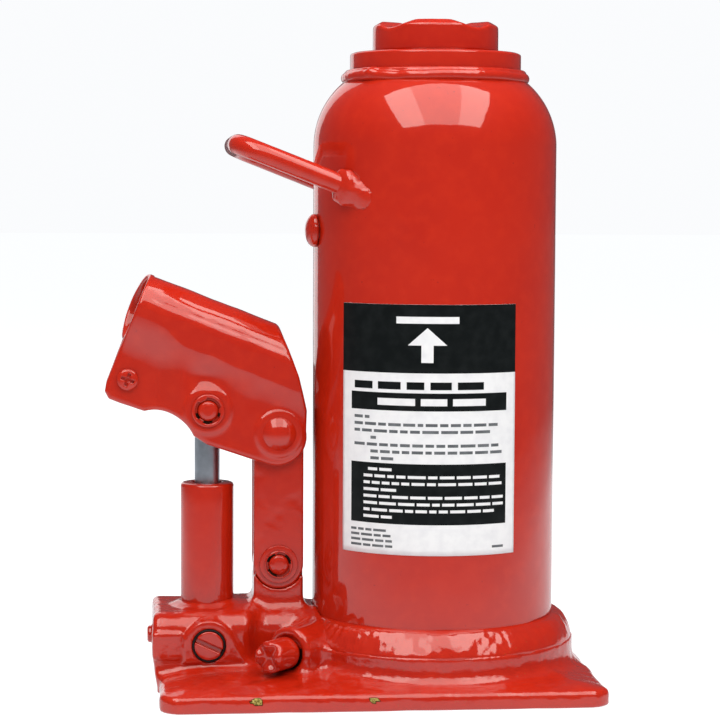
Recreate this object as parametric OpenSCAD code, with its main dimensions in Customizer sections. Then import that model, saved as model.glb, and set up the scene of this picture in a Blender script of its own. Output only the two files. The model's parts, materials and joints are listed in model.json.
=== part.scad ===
// Hydraulic bottle jack: welded reservoir on a cast base, lever pump at the left (-X).
// Millimetres, +Z up. The origin is on the ram's axis at the base's underside.

/* [Overall] */
// Height from the base's underside to the top of the saddle, ram down
closed_h = 260.35; // [255:0.05:270]
// Travel of the ram
ram_travel = 158.75; // [120:0.05:165]

/* [Base] */
// Reach of the base plate toward the pump
plate_left = 110; // [106:1:114]
// Reach of the base plate away from the pump
plate_right = 61; // [57:1:70]
// Width of the base plate
plate_w = 130; // [120:1:150]
// Thickness of the plate at its edge
plate_t = 6.2; // [5:0.1:8]
// Radius of the ring round the reservoir's foot
ring_r = 56.3; // [54:0.1:57]
// Height of that ring
ring_h = 18; // [16:0.5:20]
// Height of the pump block's ridge
block_h = 30; // [29:0.5:32]
// Width of the pump block
block_w = 50; // [46:1:54]

/* [Reservoir] */
// Outer radius of the reservoir tube
tank_r = 48; // [46:0.5:49]
// Wall of the reservoir tube
tank_wall = 3; // [2:0.5:4]
// Height at which the shoulder begins
shoulder_z = 211.5; // [205:0.5:213]
// Radius of the shoulder's arc
shoulder_r = 33; // [30:0.5:36]

/* [Ram] */
// Radius of the ram
ram_r = 21; // [18:0.5:22]
// Bore radius of the ram cylinder
ram_bore_r = 26; // [25:0.5:27]
// Outer radius of the ram cylinder
ram_cyl_r = 33; // [31:0.5:33]
// Radius of the saddle
saddle_r = 24.7; // [23:0.1:26]
// Turn of the saddle's grooves about the ram's axis
saddle_turn = -10; // [-45:1:45]

/* [Pump] */
// Distance from the ram's axis to the pump's axis
pump_x = 90; // [89:0.5:91]
// Radius of the pump plunger
plunger_r = 4.95; // [4.5:0.05:5.5]
// Outer radius of the pump cylinder
pump_cyl_r = 10.5; // [9.5:0.1:11]
// Top of the pump cylinder
pump_top = 78.8; // [76:0.1:80]

/* [Lever] */
// Height of the pump pin
pump_pin_z = 108.3; // [107:0.1:109]
// Distance from the ram's axis to the links
link_x = 62.1; // [61.5:0.1:63]
// Height of the lower link pin
link_pin_z = 47; // [46:0.5:48]
// Height of the fulcrum
fulcrum_z = 99; // [98:0.5:100]
// Half width of a link plate
link_r = 9.8; // [9:0.1:10]
// Thickness of a link plate
link_t = 4; // [3:0.5:4]
// Slope of the handle socket
socket_tilt = 21.4; // [18:0.1:24]
// Outer radius of the socket tube
socket_r = 14.5; // [14:0.1:15]
// Bore radius that holds the pump bar
socket_bore_r = 12; // [11:0.1:12.2]

/* [Carry handle] */
// Radius of the handle's rod
rod_r = 4; // [3.5:0.1:4.5]
// Half the distance between the handle's legs
handle_half_w = 30; // [28:0.5:32]

/* [Hidden] */
$fn = 96;

paint = "orangered";
dark_paint = "firebrick";
bright = "silver";
steel = "slategray";
black = "black";

run_gap = 0.05;          // radial clearance of a pin or shaft in its hole
face_gap = 0.3;          // gap between plates that turn against each other
eps = 0.01;

// Base
plate_slope_top = 9.2;   // height that the plate's top slopes up to
plate_corner = 5;        // chamfer of the plate's corners
plate_slope_in = 9;      // how far in from the edge the slope ends
block_left = 112;        // the pump block's end face
head_right = 75;         // where the wide part of the block ends
neck_w = 34;             // width of the block between the pump and the ring
block_round = 10;        // radius along the block's upper edges
valve_z = 18;            // height of the valve bores
foot_z = 18;             // where the reservoir tube stands
spigot_top = 22;         // casting inside the reservoir's foot
spigot_r = tank_r - tank_wall - run_gap;
seat_z = 12;             // floor that the ram cylinder's gasket lies on
gasket_t = 1;

// Reservoir
shoulder_cx = tank_r - shoulder_r;
dome_top = 238;
dome_hole_r = ram_cyl_r + run_gap;
collar_r = 33.7;
collar_z = 240;
collar_top = 248.2;

// Ram
saddle_z = 248.5;
cyl_z = seat_z + gasket_t;
cyl_top = 232;
nut_foot = 220;
piston_z = 26;
piston_top = 34;
stud_r = 10;
stud_z = 13.5;
groove_floor = closed_h - 2.85;
groove_r = 13;
spigot_saddle_r = 12;

// Pump
pump_seat_z = 24;
pump_thread_r = 8.5;
eye_r = 8.6;
eye_w = 12;
eye_gap = 1.3;           // room for the pump pin in the plunger's eye
pin_r = 4;
gland_z = 70;
gland_r = 7;
chamber_r = 2.5;
ball_r = 2.75;
bore_r = 4;              // valve bores
seat_hole_r = 1.5;
suction_hole_r = 2;
ball_gap = 0.02;
suction_seat = -84;      // where the suction ball's seat is, along X
delivery_seat = -6;      // where the delivery ball's seat is, along Y
suction_ball_x = suction_seat - sqrt(pow(ball_r, 2) - pow(suction_hole_r, 2)) - ball_gap;
delivery_ball_y = delivery_seat - sqrt(pow(ball_r, 2) - pow(seat_hole_r, 2)) - ball_gap;
end_plug_in = -104;
inlet_x = -39;           // where suction oil leaves the reservoir
plug_face = block_w / 2; // distance to the front face of the casting
plug_r = 5.6;
plug_thread_r = 5;
plug_in = 16;            // inner end of the slotted plug
plug_slot_turn = 25;
ring_out_r = 6.4;

// Release valve: its axis leaves the casting toward the front left
release_at = [-59.8, -35, 17];
release_turn = 40;
release_dir = [-sin(release_turn), -cos(release_turn), 0];
release_r = 4.5;
release_head_r = 6.2;
release_out = 14;
release_side = [cos(release_turn), -sin(release_turn), 0];
release_boss_r = 9.5;
release_boss_in = 23;    // how far the boss runs in toward the reservoir
release_shank = 13.5;    // inner end of the spindle's shank
release_bore_in = 16.5;  // inner end of its bore
release_seat = 20.5;     // depth of the ball's seat below the boss's face
release_hole_r = 1.3;
release_ball_s = release_seat - sqrt(pow(ball_r, 2) - pow(release_hole_r, 2)) - ball_gap;
delivery_drop = 9;       // height of the delivery passage under the release valve
release_foot = release_at - 36 * release_dir - [0, 0, release_at[2] - delivery_drop];
delivery_from = [-pump_x, -12, valve_z - 1.5];
delivery_run = release_foot - delivery_from;
riser_at = delivery_from + 1.22 * delivery_run;
riser_foot_z = 4.5;
return_from = release_at - 15 * release_dir + 3.3 * release_side - [0, 0, 1.2];
return_to = return_from - 14 * release_dir;
return_r = 1.2;

// Links and socket, in the X-Z plane
pivot = [-link_x, fulcrum_z];
link_foot = [-link_x, link_pin_z];
pump_at = [-pump_x, pump_pin_z];
lug_half = 5;
link_in = lug_half + face_gap;
link_out = link_in + link_t;
cheek_in = link_out + face_gap;
cheek_t = 3;
cheek_out = cheek_in + cheek_t;
link_pin_r = 3.9;
washer_r = 7.5;
washer_t = 0.8;
ring_t = 1;
small_ring_r = 5.6;
large_ring_r = 6.5;
boss_r = 8.5;
boss_t = 0.8;
mouth = [-117.8, 147.8];
socket_dir = [cos(socket_tilt), -sin(socket_tilt)];
bore_depth = 52;
mouth_lip = 3.2;         // how much further out the mouth's rear side reaches
flange_in = 5;
flange_out = 8;
clamp_at = [-121.2, 120.2];
clamp_r = 2.5;
heel = [-62.7, 97.8];    // centre of the cheek's rounded heel
heel_r = 11.5;
notch = [-110.5, 91.6];  // centre of the hollow under the cheek
notch_r = 16.4;

// Carry handle: its plane rises away from the reservoir
handle_tilt = 21.4;
handle_root = [-37.5, 195.5];
handle_reach = 44.2;     // along the slope, from the root to the cross bar's axis
handle_bend = 12;

// Filler plug
filler_z = 178.5;
filler_turn = 8;
filler_r = 5;
filler_head_r = 6.5;
filler_out = 4.2;

// Label
label_z = 55.8;
label_h = 95.6;
label_from = -143;
label_span = 86.3;
label_t = 0.2;

// Points along an arc about c, from angle a0 to a1.
function arc(c, r, a0, a1, n) =
    [for (i = [0:n]) let (a = a0 + (a1 - a0) * i / n) [c[0] + r * cos(a), c[1] + r * sin(a)]];

// Outline of the folded socket seen from the front, as X and Z.
function socket_outline() = concat(
    [[-112.5, 161.3], [-62.2, 142.3], [-54.5, 121.5], [-51.3, 108]],
    arc(heel, heel_r, 10, -110, 16),
    [[-90.5, 95]],
    arc(notch, notch_r, 24, 105, 12),
    [[-128.6, 112.6], [-130.1, 115.5], [-129.6, 118.6], [-124.1, 132.8]]
);

// Extrudes an X-Z outline along Y, from y0 to y1.
module along_y(y0, y1)
    translate([0, y1, 0]) rotate([90, 0, 0]) linear_extrude(y1 - y0) children();

// A disc or pin whose axis runs along Y through the X-Z point p.
module pin_y(p, r, y0, y1)
    translate([p[0], y1, p[1]]) rotate([90, 0, 0]) cylinder(r = r, h = y1 - y0);

// A pair of mirrored pieces, in front and behind.
module both_sides() {
    children();
    mirror([0, 1, 0]) children();
}

// A ring round the Z axis.
module ring(r_in, r_out, z0, z1)
    translate([0, 0, z0]) difference() {
        cylinder(r = r_out, h = z1 - z0);
        translate([0, 0, -1]) cylinder(r = r_in, h = z1 - z0 + 2);
    }

// A drilled passage from a to b.
module drill(a, b, r) {
    d = b - a;
    translate(a) rotate([0, acos(d[2] / norm(d)), atan2(d[1], d[0])]) cylinder(r = r, h = norm(d));
}

// Places children with +Z along the release valve's axis, z = 0 on the boss's face.
module on_release()
    translate(release_at) rotate([0, 90, 180 + 90 - release_turn]) children();

// A coil spring along +Z: mean radius r, wire radius w, length h.
module coil(r, w, h, turns) {
    per_turn = 14;
    sides = 6;
    n = turns * per_turn;
    rings = [for (i = [0:n]) for (k = [0:sides - 1])
        let (a = 360 * i / per_turn, b = 360 * k / sides, q = r + w * cos(b))
        [q * cos(a), q * sin(a), w + (h - 2 * w) * i / n + w * sin(b)]];
    skin = [for (i = [0:n - 1]) for (k = [0:sides - 1])
        let (k2 = (k + 1) % sides)
        [i * sides + k, i * sides + k2, (i + 1) * sides + k2, (i + 1) * sides + k]];
    polyhedron(rings, concat(skin, [[for (k = [sides - 1:-1:0]) k]],
        [[for (k = [0:sides - 1]) n * sides + k]]));
}

module plate_outline(inset = 0) {
    c = plate_corner;
    l = -plate_left + inset;
    r = plate_right - inset;
    w = plate_w / 2 - inset;
    polygon([[l + c, -w], [r - c, -w], [r, -w + c], [r, w - c],
        [r - c, w], [l + c, w], [l, w - c], [l, -w + c]]);
}

// Part of the pump block: rounded along its two upper edges.
module block(x0, x1, w)
    translate([x0, 0, 0]) rotate([90, 0, 90]) linear_extrude(x1 - x0)
        polygon(concat([[-w / 2, eps], [w / 2, eps]],
            arc([w / 2 - block_round, block_h - block_round], block_round, 0, 90, 8),
            arc([block_round - w / 2, block_h - block_round], block_round, 90, 180, 8)));

// The flat pad round the slotted plug, with a straight foot that widens to the right.
module plug_pad()
    along_y(-plug_face - 1, -plug_face + 12)
        polygon(concat(arc([-pump_x, valve_z], 10, 30, 180, 14),
            [[-pump_x - 10, 11], [-pump_x + 15, 11]]));

module lug() {
    along_y(-lug_half, lug_half) translate([-link_x, link_pin_z]) circle(r = link_r);
    along_y(-lug_half, lug_half) translate([-link_x - link_r, block_h - 8])
        square([2 * link_r, link_pin_z - block_h + 8]);
    difference() {
        along_y(-link_out, link_out) translate([-link_x - link_r, block_h - 8])
            square([2 * link_r, link_pin_z - block_h + 8]);
        both_sides() pin_y(link_foot, link_r + face_gap, -link_out - 1, -lug_half);
        both_sides() along_y(-link_out - 1, -lug_half)
            translate([-link_x - link_r - 1, link_pin_z - 4]) square([2 * link_r + 2, 10]);
    }
}

module release_boss()
    on_release() translate([0, 0, -release_boss_in]) cylinder(r = release_boss_r, h = release_boss_in);

// The narrow part of the pump block, which runs in under the reservoir's wall.
module neck() block(-head_right - 1, -tank_r + 8, neck_w);

module base_casting() color(paint) difference() {
    union() {
        linear_extrude(plate_t) plate_outline();
        hull() {
            translate([0, 0, plate_t - 1]) linear_extrude(1) plate_outline();
            linear_extrude(plate_slope_top) plate_outline(plate_slope_in);
        }
        cylinder(r = ring_r, h = ring_h);
        cylinder(r = spigot_r, h = spigot_top);
        block(-block_left, -head_right, block_w);
        neck();
        plug_pad();
        lug();
        release_boss();
    }
    // the ring's upper part stands outside the reservoir's foot
    ring(tank_r - tank_wall, tank_r + run_gap, foot_z, block_h + 10);
    translate([0, 0, seat_z]) cylinder(r = ram_cyl_r + run_gap, h = 20);
    translate([0, 0, spigot_top]) cylinder(r = tank_r, h = 20);
    // pump cylinder's thread and chamber
    translate([-pump_x, 0, pump_seat_z]) cylinder(r = pump_thread_r, h = 20);
    translate([-pump_x, 0, valve_z]) cylinder(r = chamber_r, h = 10);
    // suction side
    drill([-block_left - 1, 0, valve_z], [suction_seat, 0, valve_z], bore_r);
    drill([suction_seat - 1, 0, valve_z], [inlet_x, 0, valve_z], suction_hole_r);
    drill([inlet_x, 0, valve_z - suction_hole_r], [inlet_x, 0, spigot_top + 1], suction_hole_r);
    // delivery side
    drill([-pump_x, -plug_face - 2, valve_z], [-pump_x, delivery_seat, valve_z], bore_r);
    drill([-pump_x, -plug_face - 2, valve_z], [-pump_x, -plug_in + 0.5, valve_z], plug_thread_r);
    drill([-pump_x, -plug_face - 2, valve_z], [-pump_x, 2 - plug_face, valve_z], ring_out_r);
    drill([-pump_x, delivery_seat - 1, valve_z], [-pump_x, 0, valve_z], seat_hole_r);
    drill(delivery_from, delivery_from + 1.3 * delivery_run, seat_hole_r);
    drill([riser_at[0], riser_at[1], riser_foot_z], [riser_at[0], riser_at[1], seat_z + 1], seat_hole_r);
    // release valve: its bore, the ball's chamber, the way in from the pump and the way back to the oil
    on_release() translate([0, 0, -release_bore_in]) cylinder(r = release_r + run_gap, h = release_bore_in + 2);
    on_release() translate([0, 0, -release_seat]) cylinder(r = ball_r + 0.25, h = 6);
    on_release() translate([0, 0, -release_seat - 2]) cylinder(r = release_hole_r, h = 3);
    drill(release_at - (release_seat + 1) * release_dir, release_foot, release_hole_r - 0.2);
    drill(return_from, return_to, return_r);
    drill(return_to - [0, 0, 2], return_to + [0, 0, spigot_top], return_r + 0.3);
    // lower link pin
    pin_y(link_foot, link_pin_r + run_gap, -20, 20);
}

// Points up the outside of the reservoir's shoulder.
function shoulder() = arc([shoulder_cx, shoulder_z], shoulder_r, 0,
    asin((dome_top - shoulder_z) / shoulder_r), 20);

module reservoir() color(paint) difference() {
    rotate_extrude() {
        r_in = shoulder_r - tank_wall;
        in_a = asin((dome_top - tank_wall - shoulder_z) / r_in);
        polygon(concat([[tank_r - tank_wall, foot_z], [tank_r, foot_z]], shoulder(),
            [[dome_hole_r, dome_top], [dome_hole_r, dome_top - tank_wall]],
            arc([shoulder_cx, shoulder_z], r_in, in_a, 0, 16)));
    }
    translate([0, 0, filler_z]) rotate([0, -90, filler_turn]) cylinder(r = filler_r, h = tank_r + 5);
}

// The bead on the ring. The neck and the release valve's boss stand in its way.
module bottom_weld() color(paint) difference() {
    rotate_extrude()
        polygon([[tank_r, ring_h], [ring_r - 0.3, ring_h], [ring_r - 0.5, ring_h + 1.6],
            [ring_r - 2, ring_h + 3.6], [tank_r + 2.6, ring_h + 7.2], [tank_r + 0.6, ring_h + 9],
            [tank_r, ring_h + 9.3]]);
    neck();
    release_boss();
}

// The bead in the corner between the shoulder and the top nut.
module top_weld() color(paint) rotate_extrude() difference() {
    translate([collar_r + 0.2, dome_top + 0.6]) circle(r = 3.3, $fn = 40);
    polygon(concat([[0, foot_z], [tank_r, foot_z]], shoulder(), [[0, dome_top]]));
    square([ram_cyl_r, closed_h]);
    translate([0, collar_z]) square([collar_r, 20]);
}

module ram_cylinder() color(steel) difference() {
    ring(ram_bore_r, ram_cyl_r, cyl_z, cyl_top);
    // port that stops the ram at the end of its travel
    drill([-ram_cyl_r - 1, 0, piston_top + ram_travel], [0, 0, piston_top + ram_travel], 1.5);
}

module cylinder_gasket() color("peru") ring(ram_bore_r, ram_cyl_r, seat_z, cyl_z);

module top_nut() color(paint) rotate_extrude()
    difference() {
        polygon([[ram_r + run_gap, nut_foot], [ram_bore_r - run_gap, nut_foot],
            [ram_bore_r - run_gap, cyl_top], [ram_cyl_r, cyl_top], [ram_cyl_r, collar_z],
            [collar_r, collar_z], [collar_r, collar_top - 1], [collar_r - 1, collar_top],
            [ram_r + run_gap, collar_top]]);
        translate([ram_r, 223]) square([3, 5]);
        translate([ram_r, 243]) square([2, 3]);
    }

module rod_seal() color(black) ring(ram_r + run_gap, ram_r + 3, 223, 228);

module wiper_ring() color(black) ring(ram_r + run_gap, ram_r + 2, 243, 246);

module ram() color(bright) difference() {
    union() {
        translate([0, 0, piston_top]) cylinder(r = ram_r, h = saddle_z - piston_top);
        translate([0, 0, stud_z]) cylinder(r = stud_r, h = piston_top - stud_z);
    }
    translate([0, 0, saddle_z - 10]) cylinder(r = spigot_saddle_r + run_gap, h = 11);
}

module ram_piston() color(steel) ring(stud_r, ram_bore_r - run_gap, piston_z, piston_top);

module piston_cup() color(black) ring(stud_r, ram_bore_r - run_gap, 21, piston_z);

module cup_washer() color(steel) ring(stud_r, ram_bore_r - 2, 19, 21);

module piston_nut() color(steel) difference() {
    translate([0, 0, 14]) cylinder(r = 16, h = 5, $fn = 6);
    translate([0, 0, 13]) cylinder(r = stud_r, h = 7);
}

module saddle() color(paint) {
    difference() {
        translate([0, 0, saddle_z]) cylinder(r = saddle_r, h = closed_h - saddle_z);
        for (turn = [45, 135])
            translate([0, 0, groove_floor + groove_r]) rotate([90, 0, saddle_turn + turn])
                cylinder(r = groove_r, h = 2 * saddle_r + 4, center = true, $fn = 160);
    }
    translate([0, 0, saddle_z - 9.5]) cylinder(r = spigot_saddle_r, h = 9.5);
}

module pump_cylinder() color(paint) translate([-pump_x, 0, 0]) {
    rotate_extrude() polygon([[plunger_r + run_gap, pump_seat_z + 1], [pump_thread_r, pump_seat_z + 1],
        [pump_thread_r, block_h], [pump_cyl_r, block_h], [pump_cyl_r, pump_top - 1],
        [pump_cyl_r - 1, pump_top], [plunger_r + 1, pump_top], [plunger_r + 1, pump_top - 1.5],
        [gland_r, pump_top - 1.5], [gland_r, gland_z], [plunger_r + run_gap, gland_z]]);
}

module pump_gasket() color("peru") translate([-pump_x, 0, 0])
    ring(plunger_r + 1, pump_thread_r, pump_seat_z, pump_seat_z + 1);

module gland_ring() color(black) translate([-pump_x, 0, 0])
    ring(plunger_r + run_gap, gland_r, gland_z, pump_top - 1.5);

module pump_plunger() color(bright) difference() {
    union() {
        translate([-pump_x, 0, 45]) cylinder(r = plunger_r, h = pump_pin_z - 45);
        translate([-pump_x, 0, 41]) cylinder(r = 3, h = 5);
        pin_y(pump_at, eye_r, -eye_w / 2, eye_w / 2);
    }
    pin_y(pump_at, pin_r + eye_gap, -eye_w, eye_w);
}

module plunger_seal() color(black) translate([-pump_x, 0, 0]) ring(3, plunger_r, 41, 45);

// One cheek of the folded socket, in front: plate, crank and clamp flange.
module cheek() {
    crank_x = -103;
    flange_x = -109;
    lift = socket_bore_r * 0.6;
    intersection() {
        along_y(-cheek_out, -cheek_in) polygon(socket_outline());
        translate([crank_x, -50, 0]) cube([100, 100, 200]);
    }
    intersection() {
        along_y(-flange_out, -flange_in) polygon(socket_outline());
        translate([flange_x - 50, -50, 0]) cube([50, 100, 200]);
    }
    hull() {
        translate([flange_x - 1, -flange_out, 105]) cube([1, cheek_t, 40 + lift]);
        translate([crank_x, -cheek_out, 103]) cube([1, cheek_t, 40]);
    }
}

// Places children with +Z along the bore, going in from the middle of the mouth.
module on_socket()
    translate([mouth[0], 0, mouth[1]]) rotate([0, 90 + socket_tilt, 0]) children();

// The rear half of the mouth slants outward.
module rear_lip() on_socket() intersection() {
    translate([0, 0, -mouth_lip - 1]) cylinder(r = socket_r, h = mouth_lip + 2);
    translate([-20, 0, 0]) rotate([90, 0, 90]) linear_extrude(40)
        polygon([[0, 1], [0, 0], [socket_r + 1, -mouth_lip], [socket_r + 1, 1]]);
}

module socket_body() {
    rear_lip();
    intersection() {
        along_y(-20, 20) polygon(socket_outline());
        union() {
            on_socket() translate([0, 0, -1]) cylinder(r = socket_r, h = 70);
            difference() {
                both_sides() cheek();
                // nothing of the cheeks stands above the tube's axis
                translate([mouth[0], -30, mouth[1]]) rotate([0, socket_tilt, 0])
                    translate([-20, 0, 0]) cube([100, 60, 40]);
            }
            both_sides() pin_y(pump_at, boss_r, -cheek_out - boss_t, -cheek_in);
            both_sides() pin_y(pivot, boss_r, -cheek_out - boss_t, -cheek_in);
        }
    }
}

module handle_socket() color(paint) difference() {
    socket_body();
    on_socket() {
        translate([0, 0, -20]) cylinder(r = socket_bore_r, h = 20 + bore_depth);
        translate([0, 0, 1]) cylinder(r = socket_bore_r - 2, h = 90);
    }
    pin_y(pump_at, pin_r + run_gap, -20, 20);
    pin_y(pivot, pin_r + run_gap, -20, 20);
    pin_y(clamp_at, clamp_r + run_gap, -20, 20);
}

module clamp_screw() color(dark_paint) difference() {
    union() {
        pin_y(clamp_at, 4.2, -flange_out - 2.6, -flange_out);
        pin_y(clamp_at, clamp_r, -flange_out - 0.1, 12.5);
    }
    for (turn = [20, 110])
        translate([clamp_at[0], -flange_out - 2.6, clamp_at[1]]) rotate([0, turn, 0])
            cube([5, 3, 0.9], center = true);
}

module clamp_nut() color(dark_paint) difference() {
    translate([clamp_at[0], 12, clamp_at[1]]) rotate([90, 0, 0]) cylinder(r = 4.6, h = 4, $fn = 6);
    pin_y(clamp_at, clamp_r, 7, 13);
}

module pump_pin() color(dark_paint) pin_y(pump_at, pin_r, -15, 15);

// Two retaining rings, one at each end of a pin.
module pin_rings(p, r_in, r_out, y, t)
    both_sides() difference() {
        pin_y(p, r_out, -y - t, -y);
        pin_y(p, r_in, -y - t - 1, -y + 1);
    }

module pump_pin_rings() color(dark_paint)
    pin_rings(pump_at, pin_r, large_ring_r, cheek_out + boss_t + run_gap, ring_t);

module link_plates() color(paint) both_sides() difference() {
    union() {
        pin_y(pivot, link_r, -link_out, -link_in);
        pin_y(link_foot, link_r, -link_out, -link_in);
        along_y(-link_out, -link_in) translate([-link_x - link_r, link_pin_z])
            square([2 * link_r, fulcrum_z - link_pin_z]);
    }
    pin_y(pivot, pin_r + run_gap, -20, 0);
    pin_y(link_foot, link_pin_r + run_gap, -20, 0);
}

// Rivet with a domed head at each end.
module fulcrum_rivet() color(paint) {
    head_r = 6.5;
    head_h = 2.6;
    dome_r = (head_r * head_r + head_h * head_h) / (2 * head_h);
    y = cheek_out + boss_t + run_gap;
    pin_y(pivot, pin_r, -y, y);
    both_sides() translate([pivot[0], -y, pivot[1]]) rotate([90, 0, 0]) rotate_extrude()
        polygon(concat([[0, 0], [head_r, 0]],
            arc([0, head_h - dome_r], dome_r, acos(head_r / dome_r), 90, 8)));
}

module link_pin() color(dark_paint) pin_y(link_foot, link_pin_r, -12.4, 12.4);

module link_pin_washers() color(paint)
    pin_rings(link_foot, link_pin_r + run_gap, washer_r, link_out + 0.2, washer_t);

module link_pin_rings() color(dark_paint)
    pin_rings(link_foot, link_pin_r, small_ring_r, link_out + 0.2 + washer_t, ring_t);

module release_spindle() color(paint) on_release() difference() {
    union() {
        translate([0, 0, face_gap]) cylinder(r = release_head_r, h = release_out - face_gap);
        translate([0, 0, -release_shank]) cylinder(r = release_r, h = release_shank + 1);
        translate([0, 0, 0.1 - release_ball_s + ball_r]) cylinder(r = 2.4, h = 6);
    }
    ring(3.4, release_r + 1, -10, -7.5);
    // cross slots that the pump bar's notched end turns
    for (turn = [45, 135])
        rotate([0, 0, turn]) translate([-10, -1.6, release_out - 3.6]) cube([20, 3.2, 5]);
}

module release_o_ring() color(black) on_release() ring(3.4, release_r + 0.03, -10, -7.5);

module release_ball() color(bright) on_release() translate([0, 0, -release_ball_s]) sphere(r = ball_r);

module valve_plug() color(paint) difference() {
    union() {
        pin_y([-pump_x, valve_z], plug_r, -plug_face - 1.6, -plug_face + 2);
        pin_y([-pump_x, valve_z], plug_thread_r, -plug_face + 1, -plug_in);
    }
    translate([-pump_x, -plug_face - 1.6, valve_z]) rotate([0, plug_slot_turn, 0])
        cube([20, 3, 1.8], center = true);
}

module valve_plug_ring() color(black) difference() {
    pin_y([-pump_x, valve_z], ring_out_r, -plug_face - 1.2, -plug_face + 2);
    pin_y([-pump_x, valve_z], plug_r, -plug_face - 2, -plug_face + 3);
}

module delivery_ball() color(bright) translate([-pump_x, delivery_ball_y, valve_z]) sphere(r = ball_r);

module delivery_spring() color(steel)
    translate([-pump_x, delivery_ball_y - 2, valve_z]) rotate([90, 0, 0])
        coil(2.6, 0.3, plug_in + delivery_ball_y - 2 - 0.1, 3);

module suction_ball() color(bright) translate([suction_ball_x, 0, valve_z]) sphere(r = ball_r);

module suction_spring() color(steel)
    translate([suction_ball_x - 2, 0, valve_z]) rotate([0, -90, 0])
        coil(2.6, 0.3, suction_ball_x - 2 - end_plug_in - 0.1, 6);

module end_plug() color(paint)
    translate([end_plug_in, 0, valve_z]) rotate([0, -90, 0]) {
        cylinder(r = bore_r, h = block_left + end_plug_in);
        cylinder(r = bore_r - 0.6, h = block_left + end_plug_in + 1.8);
    }

module suction_strainer() color("darkkhaki") translate([inlet_x, 0, 0]) difference() {
    translate([0, 0, spigot_top]) cylinder(r = 4.5, h = 4);
    translate([0, 0, spigot_top - 1]) cylinder(r = 3.5, h = 4);
}

module filler_plug() color(dark_paint)
    translate([0, 0, filler_z]) rotate([0, -90, filler_turn]) rotate_extrude()
        polygon(concat([[0, tank_r - 7], [filler_r - run_gap, tank_r - 7],
            [filler_r - run_gap, tank_r + 0.5], [filler_head_r, tank_r + 0.5]],
            arc([filler_head_r - 2.4, tank_r + filler_out - 2.4], 2.4, 0, 90, 6),
            [[0, tank_r + filler_out]]));

// Places children in the handle's plane: x along the slope away from the tank, y along Y.
module handle_plane()
    translate([handle_root[0], 0, handle_root[1]]) rotate([0, handle_tilt, 0])
        mirror([1, 0, 0]) children();

module carry_handle() color(paint) difference() {
    handle_plane() {
        straight = handle_reach - handle_bend;
        both_sides() {
            translate([-6, -handle_half_w, 0]) rotate([0, 90, 0]) cylinder(r = rod_r, h = straight + 6);
            translate([straight, handle_bend - handle_half_w, 0]) rotate([0, 0, -90])
                rotate_extrude(angle = 90) translate([handle_bend, 0]) circle(r = rod_r, $fn = 48);
        }
        translate([handle_reach, handle_half_w - handle_bend, 0]) rotate([90, 0, 0])
            cylinder(r = rod_r, h = 2 * (handle_half_w - handle_bend));
    }
    cylinder(r = tank_r, h = closed_h);
}

// A collar of weld where each leg meets the reservoir.
module handle_welds() color(paint) difference() {
    both_sides() handle_plane() translate([-5, -handle_half_w, 0]) rotate([0, 90, 0])
        cylinder(r1 = rod_r + 3.4, r2 = rod_r + 0.3, h = 9);
    cylinder(r = tank_r, h = closed_h);
    both_sides() handle_plane() translate([-8, -handle_half_w, 0]) rotate([0, 90, 0])
        cylinder(r = rod_r, h = 20);
}

module label() color("white") translate([0, 0, label_z]) rotate([0, 0, label_from])
    rotate_extrude(angle = label_span) translate([tank_r, 0]) square([label_t, label_h]);

base_casting();
reservoir();
bottom_weld();
top_weld();
ram_cylinder();
cylinder_gasket();
top_nut();
rod_seal();
wiper_ring();
ram();
ram_piston();
piston_cup();
cup_washer();
piston_nut();
saddle();
pump_cylinder();
pump_gasket();
gland_ring();
pump_plunger();
plunger_seal();
handle_socket();
clamp_screw();
clamp_nut();
pump_pin();
pump_pin_rings();
link_plates();
fulcrum_rivet();
link_pin();
link_pin_washers();
link_pin_rings();
release_spindle();
release_o_ring();
release_ball();
valve_plug();
valve_plug_ring();
delivery_ball();
delivery_spring();
suction_ball();
suction_spring();
end_plug();
suction_strainer();
filler_plug();
carry_handle();
handle_welds();
label();
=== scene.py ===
import json
import math

import bmesh
import bpy
import numpy as np
from mathutils import Matrix, Vector


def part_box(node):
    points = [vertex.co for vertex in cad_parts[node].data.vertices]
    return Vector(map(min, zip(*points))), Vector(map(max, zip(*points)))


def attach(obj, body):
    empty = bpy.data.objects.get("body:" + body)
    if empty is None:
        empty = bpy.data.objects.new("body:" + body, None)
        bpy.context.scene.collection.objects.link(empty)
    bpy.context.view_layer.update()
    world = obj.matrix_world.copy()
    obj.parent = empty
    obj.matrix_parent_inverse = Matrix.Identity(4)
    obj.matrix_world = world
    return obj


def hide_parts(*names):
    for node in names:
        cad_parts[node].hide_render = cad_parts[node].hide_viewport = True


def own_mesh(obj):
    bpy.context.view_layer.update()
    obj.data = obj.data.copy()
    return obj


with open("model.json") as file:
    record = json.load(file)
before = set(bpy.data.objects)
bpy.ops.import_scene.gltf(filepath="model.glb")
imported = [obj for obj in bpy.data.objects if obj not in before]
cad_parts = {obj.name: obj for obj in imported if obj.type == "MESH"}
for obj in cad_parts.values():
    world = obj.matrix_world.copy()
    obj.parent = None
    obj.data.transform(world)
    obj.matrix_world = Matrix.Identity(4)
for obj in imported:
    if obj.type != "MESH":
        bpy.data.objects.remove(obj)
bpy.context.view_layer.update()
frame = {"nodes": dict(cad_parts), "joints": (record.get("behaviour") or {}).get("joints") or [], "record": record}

# Every shape below is worked out in millimetres, and a mesh is scaled to metres when it is made.
MM = 0.001
JOINTS = {j["name"]: j for j in frame["joints"]}


def node_box(node):
    """A CAD node's lowest and highest corners, in millimetres."""
    low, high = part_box(node)
    return np.array(low) / MM, np.array(high) / MM


def middle_of(node):
    """The middle of a CAD node's box."""
    low, high = node_box(node)
    return (low + high) / 2


def joint_point(name):
    """A hinge's place, in millimetres."""
    return np.array(JOINTS[name]["pos_m"]) / MM


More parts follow.
